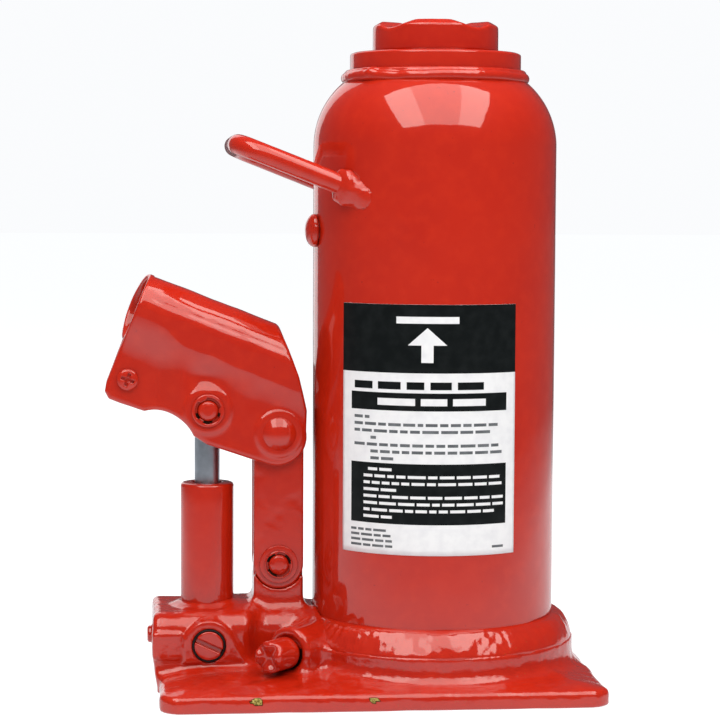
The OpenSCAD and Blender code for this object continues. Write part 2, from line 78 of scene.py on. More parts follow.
# ---------------------------------------------------------------- places read from the frame
TANK_R = node_box("reservoir")[1][0]
COLLAR_R = node_box("top_nut")[1][0]
PUMP_X = middle_of("pump_cylinder")[0]
PUMP_PIN = np.array([PUMP_X, 0, middle_of("pump_pin")[2]])
FULCRUM = joint_point("handle_pump")
LINK_FOOT = joint_point("link_swing")
RELEASE = joint_point("release_turn")
RELEASE_DIR = np.array(JOINTS["release_turn"]["axis"], float)
FILLER_DIR = np.array(JOINTS["filler_pull"]["axis"], float)
MOUNTS = {m["name"]: m for m in frame["record"]["mounts"]}
BORE_DIR = np.array(MOUNTS["pump_bar_socket"]["axis"], float)
BORE_R = MOUNTS["pump_bar_socket"]["dims"]["r_mm"]
LABEL_LOW, LABEL_HIGH = node_box("label")


# ---------------------------------------------------------------- noise and distance fields
CORNERS = [(i, j, k) for i in (0, 1) for j in (0, 1) for k in (0, 1)]
LATTICE = np.random.RandomState(7).rand(32, 32, 32).astype(np.float32) * 2 - 1


def noise(points, scale, shift=0.0):
    """Smooth noise from -1 to 1 at points, with features about scale across."""
    p = np.asarray(points, np.float32) / scale + np.float32(shift)
    cell = np.floor(p).astype(int)
    t = p - cell
    t = t * t * (3 - 2 * t)
    total = 0
    for corner in CORNERS:
        weight = np.prod([t[..., a] if c else 1 - t[..., a] for a, c in enumerate(corner)], axis=0)
        total = total + weight * LATTICE[tuple((cell[..., a] + c) % 32 for a, c in enumerate(corner))]
    return total


def held(v):
    """v kept between 0 and 1."""
    return np.clip(v, 0.0, 1.0)


def smooth_min(a, b, k):
    """Union of two fields with a fillet about k wide."""
    h = np.maximum(k - np.abs(a - b), 0) / k
    return np.minimum(a, b) - h * h * k / 4


def smooth_max(a, b, k):
    """Intersection of two fields with its edge rounded over about k."""
    return -smooth_min(-a, -b, k)


def cut(a, b, k=0.5):
    """a with b taken out of it."""
    return smooth_max(a, -b, k)


def round_box(x, y, z, low, high, r):
    """Distance to a box between two corners, with edges of radius r."""
    centre = [(a + b) / 2 for a, b in zip(low, high)]
    half = [(b - a) / 2 - r for a, b in zip(low, high)]
    q = [np.abs(v - c) - h for v, c, h in zip((x, y, z), centre, half)]
    outside = np.sqrt(sum(np.maximum(v, 0) ** 2 for v in q))
    return outside + np.minimum(np.maximum(np.maximum(q[0], q[1]), q[2]), 0) - r


def off_axis(x, z, at):
    """Distance from an axis that runs along Y through at."""
    return np.sqrt((x - at[0]) ** 2 + (z - at[2]) ** 2)


def rod(radial, along, r, a0, a1, edge=0.0):
    """Distance to a cylinder, from the distances off and along its axis."""
    d = radial - r + edge
    e = np.abs(along - (a0 + a1) / 2) - (a1 - a0) / 2 + edge
    outside = np.sqrt(np.maximum(d, 0) ** 2 + np.maximum(e, 0) ** 2)
    return outside + np.minimum(np.maximum(d, e), 0) - edge


def polygon_distance(points, x, z):
    """Signed distance to a closed outline in a plane, negative inside."""
    best = np.full(np.broadcast(x, z).shape, 1e9, np.float32)
    inside = np.zeros(best.shape, bool)
    for (ax, az), (bx, bz) in zip(points, points[1:] + points[:1]):
        ex, ez = bx - ax, bz - az
        t = held(((x - ax) * ex + (z - az) * ez) / (ex * ex + ez * ez))
        best = np.minimum(best, (x - ax - ex * t) ** 2 + (z - az - ez * t) ** 2)
        crosses = ((az > z) != (bz > z)) & (x < ax + (z - az) * ex / (ez if ez else 1e-9))
        inside ^= crosses
    best = np.sqrt(best)
    return np.where(inside, -best, best)


def arc(cx, cz, r, a0, a1, n):
    """Points along an arc, angles in degrees."""
    angles = [math.radians(a0 + (a1 - a0) * i / n) for i in range(n + 1)]
    return [(cx + r * math.cos(a), cz + r * math.sin(a)) for a in angles]


def grid(node, step, grow=0):
    """Open grids of x, y and z over a CAD node with a margin, and their first corner with the step."""
    axes = [np.arange(a - grow - 2 * step, b + grow + 2.5 * step, step, dtype=np.float32)
            for a, b in zip(*node_box(node))]
    return np.meshgrid(*axes, indexing="ij", sparse=True), (np.array([a[0] for a in axes]), step)


# ---------------------------------------------------------------- meshes
def added(name, data):
    """A new object in the scene."""
    obj = bpy.data.objects.new(name, data)
    bpy.context.scene.collection.objects.link(obj)
    return obj


def new_mesh(name, node, verts, faces, body="jack_body", material=None, wear_and_shade=None, weld=False):
    """A piece from vertices in millimetres, riding on body and standing for a CAD node. wear_and_shade, one
    number for each vertex, is 0 on sound paint, 0.5 on dirt and on painted shade, and 1 where bare metal shows."""
    material = material or PAINT
    mesh = bpy.data.meshes.new(name)
    verts = np.asarray(verts, np.float32) * MM
    mesh.from_pydata(verts.tolist(), [], faces if isinstance(faces, list) else faces.tolist())
    mesh.validate()
    if wear_and_shade is not None:
        attribute = mesh.attributes.new("wear_and_shade", "FLOAT", "POINT")
        attribute.data.foreach_set("value", np.asarray(wear_and_shade, np.float32))
    mesh.materials.append(material)
    if weld:
        weld_poles(mesh)
    mesh.polygons.foreach_set("use_smooth", [True] * len(mesh.polygons))
    obj = added(name, mesh)
    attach(obj, body)
    if node:
        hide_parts(node)
    return obj


EDGES = [(a, b) for a in range(8) for b in range(a + 1, 8)
         if sum(abs(p - q) for p, q in zip(CORNERS[a], CORNERS[b])) == 1]


def surface(field, start, relax=1):
    """Quads along the zero of a distance field: one vertex in each cell that it crosses."""
    low, step = start
    field = np.pad(field.astype(np.float32), 1, constant_values=1.0)
    low = low - step
    inside = field < 0
    size = field.shape
    count = sum(inside[i:size[0] - 1 + i, j:size[1] - 1 + j, k:size[2] - 1 + k].astype(np.int8)
                for i, j, k in CORNERS)
    active = (count > 0) & (count < 8)
    cells = np.argwhere(active)
    values = np.stack([field[cells[:, 0] + i, cells[:, 1] + j, cells[:, 2] + k] for i, j, k in CORNERS], 1)
    corner = np.array(CORNERS, np.float32)
    total = np.zeros((len(cells), 3), np.float32)
    hits = np.zeros(len(cells), np.float32)
    for a, b in EDGES:
        crosses = (values[:, a] < 0) != (values[:, b] < 0)
        t = np.where(crosses, values[:, a] / np.where(crosses, values[:, a] - values[:, b], 1), 0)
        total += (corner[a] + (corner[b] - corner[a]) * t[:, None]) * crosses[:, None]
        hits += crosses
    verts = (cells + total / hits[:, None]) * step + low
    index = np.full(active.shape, -1, np.int32)
    index[active] = np.arange(len(cells))
    quads = []
    for axis in range(3):
        u, v = [(1, 2), (2, 0), (0, 1)][axis]
        a = np.take(inside, range(size[axis] - 1), axis)
        b = np.take(inside, range(1, size[axis]), axis)
        at = np.argwhere(a != b)
        at = at[(at[:, u] > 0) & (at[:, v] > 0)]
        starts = a[at[:, 0], at[:, 1], at[:, 2]]
        ring = []
        for du, dv in ((1, 1), (0, 1), (0, 0), (1, 0)):
            cell = at.copy()
            cell[:, u] -= du
            cell[:, v] -= dv
            ring.append(index[cell[:, 0], cell[:, 1], cell[:, 2]])
        ring = np.stack(ring, 1)
        ring[~starts] = ring[~starts][:, ::-1]
        quads.append(ring)
    faces = np.concatenate(quads)
    for _ in range(relax):
        verts = relaxed(verts, faces)
    return verts, faces


def relaxed(verts, faces):
    """Each vertex moved halfway to the middle of its neighbours, then back, so that it keeps its size."""
    sides = faces.shape[1]
    for share in (0.5, -0.51):
        total = np.zeros_like(verts)
        count = np.zeros(len(verts), np.float32)
        for i in range(sides):
            a, b = faces[:, i], faces[:, (i + 1) % sides]
            for p, q in ((a, b), (b, a)):
                for axis in range(3):
                    total[:, axis] += np.bincount(p, verts[q, axis], len(verts))
                count += np.bincount(p, minlength=len(verts))
        verts = verts + share * (total / np.maximum(count, 1)[:, None] - verts)
    return verts


def normals(verts, faces):
    """Unit normals of vertices."""
    a, b, c = (verts[faces[:, i]] for i in (0, 1, 2))
    face = np.cross(b - a, c - a)
    total = np.stack([sum(np.bincount(faces[:, i], face[:, axis], len(verts)) for i in range(faces.shape[1]))
                      for axis in range(3)], 1)
    return total / np.maximum(np.linalg.norm(total, axis=1), 1e-9)[:, None]


def roughen(verts, faces, layers, mask=1.0):
    """Vertices moved along their normals by layers of noise, each (height, width)."""
    n = normals(verts, faces)
    move = sum(h * noise(verts, w, shift=3.7 * i) for i, (h, w) in enumerate(layers))
    return verts + n * (move * mask)[:, None]


def rounded(points, r, n=6):
    """An open outline of (radius, height) points with its inner corners rounded, by one radius or each."""
    out = [points[0]]
    for i in range(1, len(points) - 1):
        p, a, b = (np.array(points[k], float) for k in (i, i - 1, i + 1))
        radius = r[i - 1] if isinstance(r, list) else r
        la, lb = np.linalg.norm(a - p), np.linalg.norm(b - p)
        half = math.pi / 2
        if radius > 0 and min(la, lb) > 1e-6:
            ua, ub = (a - p) / la, (b - p) / lb
            half = math.acos(max(-1, min(1, float(ua @ ub)))) / 2
        if half > math.pi / 2 - 0.02:  # no radius, or no corner
            out.append(tuple(p))
            continue
        reach = min(radius / math.tan(half), la * 0.49, lb * 0.49)
        start, end = p + ua * reach, p + ub * reach
        for k in range(n + 1):
            t = k / n
            out.append(tuple((1 - t) ** 2 * start + 2 * t * (1 - t) * p + t * t * end))
    out.append(points[-1])
    return out


def rings(count, sides):
    """Quads between count rings of vertices, each with that many sides."""
    rows = np.arange(count - 1)[:, None] * sides
    cols = np.arange(sides)[None]
    after = (cols + 1) % sides
    quads = [rows + cols, rows + after, rows + sides + after, rows + sides + cols]
    return np.stack(quads, -1).reshape(-1, 4)


def lathe(profile, segments=128, at=(0, 0, 0), axis=(0, 0, 1)):
    """Vertices and quads of a profile of (radius, height) turned about an axis through at."""
    angles = np.arange(segments) * 2 * math.pi / segments
    r = np.array([max(p[0], 0.0) for p in profile])[:, None]
    z = np.array([p[1] for p in profile])[:, None] + 0 * angles
    verts = np.stack([r * np.cos(angles), r * np.sin(angles), z], -1).reshape(-1, 3)
    turn = Vector((0, 0, 1)).rotation_difference(Vector(axis)).to_matrix()
    verts = verts @ np.array(turn).T + np.array(at, float)
    return verts, rings(len(profile), segments)


def sweep(path, up, r, sides):
    """Vertices of a round rod of radius r along path, up square to it, and the faces that close it."""
    tangent = np.gradient(path, axis=0)
    tangent /= np.linalg.norm(tangent, axis=1)[:, None]
    side = np.cross(tangent, up)
    a = (np.arange(sides) * 2 * math.pi / sides)[None, :, None]
    verts = path[:, None] + r * (np.cos(a) * side[:, None] + np.sin(a) * up[:, None])
    quads = rings(len(path), sides)
    last = (len(path) - 1) * sides
    ends = [tuple(range(sides - 1, -1, -1)), tuple(range(last, last + sides))]
    return verts.reshape(-1, 3), quads, [tuple(q) for q in quads.tolist()] + ends


def turned(name, node, profile, at=(0, 0, 0), axis=(0, 0, 1), segments=128, layers=(),
           body="jack_body", material=None):
    """A lathe piece. Its profile runs upward on the outside, so that its faces look outward."""
    verts, faces = lathe(profile, segments, at, axis)
    if layers:
        verts = roughen(verts, faces, layers)
    new_mesh(name, node, verts, faces, body, material, weld=True)


def weld_poles(mesh):
    """Joins the vertices that meet on a lathe's axis, and drops the faces that this leaves empty."""
    bm = bmesh.new()
    bm.from_mesh(mesh)
    bmesh.ops.remove_doubles(bm, verts=bm.verts, dist=2e-6)
    bmesh.ops.dissolve_degenerate(bm, edges=bm.edges, dist=1e-7)
    bmesh.ops.recalc_face_normals(bm, faces=bm.faces)
    bm.to_mesh(mesh)
    bm.free()


def grown(name, node, field, start, layers=(), mask=None, body="jack_body", material=None,
          relax=1, clip=False, wear_and_shade=None):
    """A piece meshed from a distance field, with layers of noise where mask allows it. mask and wear
    are functions of the vertices, and clip keeps it inside the CAD node's box."""
    verts, faces = surface(field, start, relax)
    if layers:
        verts = roughen(verts, faces, layers, mask(verts) if mask else 1.0)
    if clip:
        verts = np.clip(verts, *node_box(node))
    new_mesh(name, node, verts, faces, body, material, wear_and_shade and wear_and_shade(verts))


# ---------------------------------------------------------------- materials
def linear(r, g, b):
    """A display colour from 0 to 255 as linear values."""
    values = [v / 255 for v in (r, g, b)]
    return [v / 12.92 if v <= 0.04045 else ((v + 0.055) / 1.055) ** 2.4 for v in values] + [1.0]


class Nodes:
    """A material's node tree with short calls for the nodes that it needs."""

    def __init__(self, name):
        self.material = bpy.data.materials.new(name)
        self.material.use_nodes = True
        self.tree = self.material.node_tree
        self.shader = self.tree.nodes["Principled BSDF"]
        self.place = self.add("ShaderNodeTexCoord").outputs["Object"]

    def feed(self, socket, value):
        """A link from another socket, or a fixed value."""
        if isinstance(value, bpy.types.NodeSocket):
            self.tree.links.new(value, socket)
        else:
            socket.default_value = value

    def add(self, kind, inputs=None, **settings):
        """A node with its inputs, by name or number, and its settings."""
        node = self.tree.nodes.new(kind)
        for key, value in settings.items():
            setattr(node, key, value)
        for key, value in (inputs or {}).items():
            self.feed(node.inputs[key], value)
        return node

    def set(self, **values):
        """Inputs of the material's shader."""
        for key, value in values.items():
            self.feed(self.shader.inputs[key.replace("_", " ")], value)

    def noise(self, size_mm, detail=3, rough=0.5, stretch=(1, 1, 1)):
        """Noise with features about size_mm across."""
        place = self.add("ShaderNodeMapping", {"Scale": stretch, "Vector": self.place}).outputs["Vector"]
        inputs = {"Scale": 1 / (size_mm * MM), "Detail": detail, "Roughness": rough, "Vector": place}
        return self.add("ShaderNodeTexNoise", inputs).outputs["Fac"]

    def ramp(self, value, stops):
        """A colour ramp; each stop is (position, colour)."""
        node = self.add("ShaderNodeValToRGB", {"Fac": value})
        ends = node.color_ramp.elements
        while len(ends) < len(stops):
            ends.new(0.5)
        for e, (position, colour) in zip(ends, stops):
            e.position = position
            e.color = colour
        return node.outputs["Color"]

    def greys(self, value, *stops):
        """A ramp of greys; each stop is (position, level)."""
        return self.ramp(value, [(position, (level,) * 3 + (1,)) for position, level in stops])

    def mix(self, share, a, b):
        """a and b mixed; each is a colour or a socket."""
        return self.add("ShaderNodeMix", {0: share, 6: a, 7: b}, data_type="RGBA").outputs[2]

    def patches(self, value, low, high, a, b):
        """a where value is under low, b where it is over high."""
        return self.mix(self.greys(value, (low, 0), (high, 1)), a, b)

    def bump(self, layers):
        """A normal from layers of (height socket, strength, distance in mm)."""
        normal = {}
        for height, strength, depth in layers:
            inputs = {"Strength": strength, "Distance": depth * MM, "Height": height, **normal}
            normal = {"Normal": self.add("ShaderNodeBump", inputs).outputs["Normal"]}
        return normal["Normal"]


RED = linear(180, 32, 9)
RED_DEEP = linear(175, 29, 8)
RED_WARM = linear(185, 36, 11)


def paint_material(name, cast=0.0):
    """Glossy enamel over steel. cast, from 0 to 1, adds the texture of a sand casting and its specks."""
    n = Nodes(name)
    colour = n.patches(n.noise(26, 3), 0.35, 0.65, RED_DEEP, RED)
    colour = n.patches(n.noise(5, 4), 0.45, 0.8, colour, RED_WARM)
    speck, rare = linear(150, 70, 28) if cast else linear(150, 24, 16), 0.745 - 0.02 * cast
    colour = n.patches(n.noise(0.9 if cast else 1.3, 2, 0.4), rare, rare + 0.03, colour, speck)
    wear_and_shade = n.add("ShaderNodeAttribute", attribute_name="wear_and_shade").outputs["Fac"]
    metal = n.patches(n.noise(0.5, 2), 0.4, 0.6, linear(96, 84, 34), linear(186, 168, 96))
    # dark brown: dirt round the pins, and painted shade and shadow at the release spindle
    colour = n.patches(wear_and_shade, 0.25, 0.5, colour, linear(34, 14, 6))
    colour = n.patches(wear_and_shade, 0.7, 0.8, colour, metal)
    layers = [(n.noise(1.8, 2), 0.07, 0.10), (n.noise(12, 2), 0.45, 0.2)]
    if cast:
        layers += [(n.noise(2.6, 4, 0.6), 0.42 * cast, 0.35), (n.noise(14, 3), 0.4 * cast, 0.6)]
    rough = n.greys(n.noise(7, 3), (0.3, 0.42), (0.7, 0.5))
    n.set(Base_Color=colour, Roughness=rough, Normal=n.bump(layers), Specular_IOR_Level=0.08)
    n.set(Coat_Weight=n.greys(wear_and_shade, (0.2, 1), (0.5, 0)), Coat_Roughness=0.055, Coat_IOR=1.64,
          Coat_Normal=n.bump(layers[:3] if cast else layers))
    return n.material


def steel_material(name, colour, rough=(0.12, 0.24), along=(1, 1, 1)):
    """Bare turned or ground steel: fine marks stretched across the axis."""
    n = Nodes(name)
    marks = n.noise(0.5, 4, 0.6, along)
    dark = [v * 0.72 for v in colour[:3]] + [1]
    n.set(Base_Color=n.patches(n.noise(6, 3), 0.35, 0.7, dark, colour),
          Roughness=n.greys(marks, (0.3, rough[0]), (0.7, rough[1])),
          Normal=n.bump([(marks, 0.12, 0.03)]), Metallic=1.0)
    return n.material


def rubber_material(name, colour):
    """Moulded rubber with a dull bloom."""
    n = Nodes(name)
    bloom = n.noise(3, 4)
    pale = [min(1, v * 1.9 + 0.01) for v in colour[:3]] + [1]
    n.set(Base_Color=n.patches(bloom, 0.4, 0.75, colour, pale),
          Roughness=n.greys(bloom, (0.3, 0.5), (0.7, 0.68)),
          Normal=n.bump([(n.noise(0.6, 2), 0.2, 0.05)]), Specular_IOR_Level=0.2)
    return n.material


def film_material(name, colour, dirty, gloss=0.25):
    """Printed film: nearly even, with a faint mottle."""
    n = Nodes(name)
    mottle = n.noise(4, 4)
    n.set(Base_Color=n.patches(mottle, 0.4, 0.8, colour, dirty),
          Roughness=n.greys(mottle, (0.3, 0.30), (0.7, 0.38)),
          Normal=n.bump([(n.noise(12, 2), 0.12, 0.12)]))
    n.set(Coat_Weight=gloss, Coat_Roughness=0.12, Specular_IOR_Level=gloss)
    return n.material


PAINT = paint_material("enamel")
CAST_PAINT = paint_material("enamel_on_casting", 1.0)
BEAD_PAINT = paint_material("enamel_on_weld", 0.45)
BRIGHT = steel_material("ground_steel", linear(205, 214, 224), (0.3, 0.44), (1, 1, 0.06))
BALL_STEEL = steel_material("ball_steel", linear(190, 192, 196), (0.06, 0.12))
DARK_STEEL = steel_material("oiled_steel", linear(112, 114, 118), (0.25, 0.42))
RUBBER = rubber_material("seal_rubber", linear(17, 17, 18))
COPPER = steel_material("soft_copper", linear(190, 122, 84), (0.25, 0.4))
MESH_BRASS = steel_material("strainer_brass", linear(178, 152, 92), (0.3, 0.45))
FILM = film_material("label_white", linear(226, 227, 230), linear(214, 215, 220))
INK = film_material("label_ink", linear(14, 18, 19), linear(24, 28, 29), 0.12)
GREY_INK = film_material("label_fine_ink", linear(88, 92, 96), linear(112, 116, 120))
PAINT_RUBBER = paint_material("enamel_on_rubber", 0.2)


# ---------------------------------------------------------------- base casting
def along_release(x, y, z):
    """Distances along the release valve's axis, out of its mouth, and off it, and the offsets."""
    offset = np.stack(np.broadcast_arrays(x - RELEASE[0], y - RELEASE[1], z - RELEASE[2]), -1)
    s = offset @ RELEASE_DIR.astype(np.float32)
    return s, np.sqrt(np.maximum((offset ** 2).sum(-1) - s * s, 0)), offset


def base_casting():
    """Plate, ring, pump block, lug and valve bosses, blended as one casting, with its bores."""
    (x, y, z), start = grid("base_casting", 0.8)
    right, half_w = node_box("base_casting")[1][:2]
    left, edge_h, crown, plug_z = -110, 6.2, 4.2, 18
    ring_r, ring_top, post_r, post_top, boss_r = 56.1, 18, 11.2, 31, 9.6
    dx, dy = np.abs(x - (right + left) / 2) - (right - left) / 2, np.abs(y) - half_w
    outline = smooth_max(smooth_max(dx, dy, 1.5), (dx + dy + 5) / math.sqrt(2), 2.0)
    wave = 0.35 * np.sin(x / 5.1 + 1.3) * np.sin(x / 13.7) + 0.3 * np.sin(y / 4.3) * np.sin(y / 11.9)
    outline = outline + 0.5 + wave
    top = edge_h + crown * (1 - np.exp(np.minimum(outline, 0) / 17))
    body = smooth_max(smooth_max(outline, z - top, 2.4), -z, 0.8)
    axis_r = np.sqrt(x * x + y * y)
    body = smooth_min(body, rod(axis_r, z, ring_r, -5, ring_top, 0.8), 6)

    def block(x0, x1, half, edge, r):
        section = round_box(0 * y, y, z, (-50, -half, -20), (50, half, 30), r)
        return smooth_max(section, np.abs(x - (x0 + x1) / 2) - (x1 - x0) / 2, edge)

    head = block(-112, -74, 24.2, 3.5, 7.5)
    head = smooth_max(head, -112 + 3.5 * (1 - held(z / 12)) - x, 1.5)
    body = smooth_min(body, smooth_min(head, block(-80, -40, 17, 2, 9.5), 9), 4.5)

    # the lug, a tongue between two shoulders
    lug_x, lug_half, lug_r = LINK_FOOT[0], 5, 9.8
    link_d = off_axis(x, z, LINK_FOOT)
    shoulder = round_box(x, y, z, (lug_x - lug_r, -9.3, 15), (lug_x + lug_r, 9.3, 43), 1.6)
    shoulder = cut(shoulder, np.maximum(link_d - lug_r - 0.15, lug_half - 0.3 - np.abs(y)), 0.2)
    body = smooth_min(body, shoulder, 4)
    stem = (lug_x - lug_r, -lug_half, 20), (lug_x + lug_r, lug_half, LINK_FOOT[2])
    body = np.minimum(body, np.minimum(rod(link_d, y, lug_r, -lug_half, lug_half, 0.8),
                                       round_box(x, y, z, *stem, 0.8)))
    pump_r = np.sqrt((x - PUMP_X) ** 2 + y * y)
    body = smooth_min(body, rod(pump_r, z, post_r, 20, post_top, 1.0), 5)

    # the slotted plug's pad, the bar beside it and the release valve's boss
    pad = arc(PUMP_X, plug_z, 10, 30, 180, 18) + [(PUMP_X - 10, 11), (PUMP_X + 15, 11)]
    pad = smooth_max(smooth_max(polygon_distance(pad, x, z), -26 - y, 1.2), y + 12, 1)
    body = smooth_min(body, pad, 0.8)
    body = smooth_min(body, round_box(x, y, z, (-111.7, -25.4, 12.6), (-100.5, -10, 23.2), 0.9), 0.8)
    s, release_r, _ = along_release(x, y, z)
    body = smooth_min(body, rod(release_r, s, boss_r, -24, 0, 1.6), 6)

    # bores and seats
    for bore, floor_z in ((axis_r - 33.05, 12), (axis_r - 45, 22), (np.abs(axis_r - 46.5) - 1.55, 18),
                          (pump_r - 8.55, 24)):
        body = cut(body, np.maximum(bore, floor_z - z), 0.3)
    plug_d, end_d = off_axis(x, z, (PUMP_X, 0, plug_z)), np.sqrt(y * y + (z - plug_z) ** 2)
    for d, along, r, a0, a1, edge in (
            (release_r, s, 4.6, -16.5, 10, 0.3), (release_r, s, 6.6, -1.0, 10, 0.4),
            (release_r, s, 3.0, -20.5, -16, 0.3), (plug_d, y, 6.45, -40, -23, 0.3),
            (plug_d, y, 5.05, -40, -15.5, 0.3), (plug_d, y, 4.0, -40, -6, 0.3),
            (end_d, x, 4.05, -130, -84, 0.3), (link_d, y, 3.95, -20, 20, 0.3)):
        body = cut(body, rod(d, along, r, a0, a1), edge)

    def calm(v):
        """Less texture on machined faces, none on the underside."""
        to_plug = np.hypot(v[:, 0] - PUMP_X, v[:, 2] - plug_z)
        machined = np.clip((to_plug - 7) / 4, 0.1, 1) * (v[:, 1] < -20) + (v[:, 1] >= -20)
        return machined * np.clip((36 - v[:, 2]) / 3, 0.25, 1) * held(v[:, 2] / 1.2)

    def chips_and_painted_shade(v):
        """Two chips on the plate's front edge, painted shade in the lower part of the release spindle's recess,
        and a painted shadow below the spindle.
        """
        wear_and_shade = np.zeros(len(v))
        for cx, cz in ((-73.2, 4.6), (-29.6, 4.2)):
            d = np.hypot((v[:, 0] - cx) / 1.9, (v[:, 2] - cz) / 1.2) + 0.4 * noise(v, 1.2)
            wear_and_shade = np.maximum(wear_and_shade, (d < 1) * (v[:, 1] < -60) * 1.0)
        into = (v - RELEASE) @ RELEASE_DIR
        away = np.linalg.norm(v - RELEASE - into[:, None] * RELEASE_DIR, axis=1)
        # painted shadow: the casting is darkened below the release spindle
        painted_shadow_below = held((RELEASE[2] - 2 - v[:, 2]) / 4) * held((10.5 - away) / 3.5)
        # painted shade: the lower part of the recess round the spindle is darkened
        crevice = (away < 6.75) * (into > -3) * (into < 1) * (v[:, 2] < RELEASE[2] + 2.5)
        return np.maximum.reduce([wear_and_shade, 0.5 * crevice,
                                  0.47 * painted_shadow_below * (into > -4) * (0.8 + 0.5 * noise(v, 3))])

    grown("casting", "base_casting", body, start, [(0.38, 13), (0.16, 5), (0.07, 2.2)], calm,
          material=CAST_PAINT, clip=True, wear_and_shade=chips_and_painted_shade)


# ---------------------------------------------------------------- reservoir, welds and top
def reservoir():
    """Drawn tube whose shoulder curves in to the top nut."""
    bend_z, bend_r, wall, mouth_r = 211.5, 33.0, 3.0, 33.05
    low, top = (corner[2] for corner in node_box("reservoir"))
    middle, bore = TANK_R - bend_r, bend_r - wall
    profile = [(TANK_R - wall, low), (TANK_R, low)]
    profile += [(TANK_R, low + (bend_z - low) * i / 60) for i in range(1, 60)]
    profile += arc(middle, bend_z, bend_r, 0, math.degrees(math.asin((top - bend_z) / bend_r)), 28)
    profile += [(mouth_r, top), (mouth_r, top - wall)]
    profile += arc(middle, bend_z, bore, math.degrees(math.asin((top - wall - bend_z) / bore)), 0, 20)
    verts, faces = lathe(profile + [(TANK_R - wall, low)], 224)
    wave = held((np.hypot(verts[:, 0], verts[:, 1]) - 40) / 5)
    verts = roughen(verts, faces, [(0.05, 30), (0.02, 11)], wave)
    verts[:, :2] *= (TANK_R / np.maximum(np.hypot(verts[:, 0], verts[:, 1]), TANK_R))[:, None]
    new_mesh("tank", "reservoir", verts, faces, weld=True)


def weld_ring(name, node, profile, ripple, layers, seed, stop=None):
    """A bead run round the tank. It has ripples along it and lumps where the rod paused, and at the
    angle stop, if given, a larger lump where its ends met."""
    segments = 360
    verts, faces = lathe(profile, segments)
    angle = np.arctan2(verts[:, 1], verts[:, 0])
    share = np.repeat(np.sin(np.linspace(0, math.pi, len(profile))), segments)
    lumps = sum(h * noise(verts, w, seed + 5.3 * i) for i, (h, w) in enumerate(layers))
    height, count = ripple
    ripples = height * np.sin(angle * count + 1.4 * np.sin(angle * 7 + seed))
    ripples = ripples * held(noise(verts, 26, seed) + 0.7)
    if stop is not None:
        apart = (angle - math.radians(stop) + math.pi) % (2 * math.pi) - math.pi
        lumps = lumps + 1.1 * np.exp(-(apart / 0.12) ** 2) * (1 + 0.5 * noise(verts, 3))
    verts = verts + normals(verts, faces) * ((lumps + ripples) * share)[:, None]
    new_mesh(name, node, verts, faces, material=BEAD_PAINT, weld=True)


def bottom_weld():
    """Bead between the ring's top and the tank."""
    low, high = node_box("bottom_weld")
    inner, outer = TANK_R - 0.15, high[0]
    z0, rise, width = low[2], high[2] - low[2], outer - 0.2 - inner
    profile = [(inner, z0 - 1.5), (outer - 0.5, z0 - 1.5), (outer - 0.15, z0 - 0.8)]
    profile += [(outer - 0.2 - width * t ** 1.45, z0 + rise * math.sin(t * math.pi / 2) ** 1.15)
                for t in np.linspace(0.04, 1, 24)]
    weld_ring("foot_weld", "bottom_weld", profile, (0.14, 96), [(1.0, 16), (0.5, 7), (0.2, 2.5)], 2.0)


def top_weld():
    """Bead between the shoulder and the top nut, with a step where two passes met."""
    low, high = node_box("top_weld")
    r, wide, top = COLLAR_R, high[0], high[2]
    profile = [(r - 0.5, low[2] + 0.3)] + arc(wide - 2.3, top - 3.7, 2.2, -50, 62, 12)
    profile += arc(wide - 2.6, top - 1.7, 1.2, 20, 85, 7) + [(r - 0.5, top - 0.3)]
    weld_ring("neck_weld", "top_weld", profile, (0.14, 60), [(0.55, 16), (0.35, 6)], 9.0, -143)


def top_nut():
    """Collar with softened edges, over a spigot and the grooves for the seal and the wiper."""
    low, high = node_box("top_nut")
    r, z0, z1, foot = COLLAR_R, 240.0, high[2], low[2]
    bore, thread_r = 21.05, 25.95
    profile = [(bore, foot), (thread_r, foot), (thread_r, 232), (33, 232), (33, z0), (r, z0), (r, z1 - 0.6),
               (r - 1.4, z1), (23.4, z1), (bore, z1 - 0.4)]
    profile += [(bore, 246.1), (23, 246), (23, 243), (bore, 243)]  # the wiper's groove
    profile += [(bore, 228), (24, 228), (24, 223), (bore, 223), (bore, foot)]  # the seal's
    soft = [0.4, 0.4, 0.3, 0.3, 0.3, 0.9, 0.8, 0.8, 0.4, 0.3] + [0.05] * 8
    turned("collar", "top_nut", rounded(profile, soft, 4), segments=192)


def saddle():
    """Crowned disc with two crossing hollows that leave four pads."""
    (x, y, z), start = grid("saddle", 0.4)
    low, high = node_box("saddle")
    r, top = high[0], high[2]
    base, hollow_r = top - 11.85, 13
    axis_r = np.sqrt(x * x + y * y)
    crown = top - np.clip(axis_r - (r - 3.2), 0, 9) * 0.55
    body = smooth_max(rod(axis_r, z, r, base, top + 4, 0.8), z - crown, 0.8)
    turn = math.radians(-10)
    for a in (math.radians(45), math.radians(135)):
        lane = x * math.cos(turn + a) + y * math.sin(turn + a)
        body = cut(body, np.sqrt(lane ** 2 + (z - (top - 2.85 + hollow_r)) ** 2) - hollow_r, 1.8)
    body = np.minimum(body, rod(axis_r, z, 12, low[2], base + 2, 0.4))
    grown("saddle_cap", "saddle", body, start, [(0.10, 9), (0.05, 3)],
          lambda v: held((v[:, 2] - base) / 2), "ram_body", clip=True)


def ram():
    """Ground rod with a short lead at its top."""
    low, high = node_box("ram")
    r, top, stem_top, hole_r = high[0], high[2], 34, 12.05
    profile = [(0, low[2]), (10, low[2]), (10, stem_top), (r, stem_top), (r, top), (hole_r, top),
               (hole_r, top - 10), (0, top - 10)]
    turned("ram_rod", "ram", rounded(profile, [0.8, 0.2, 0.8, 1.2, 0.2, 0.4], 4), segments=160,
           body="ram_body", material=BRIGHT)


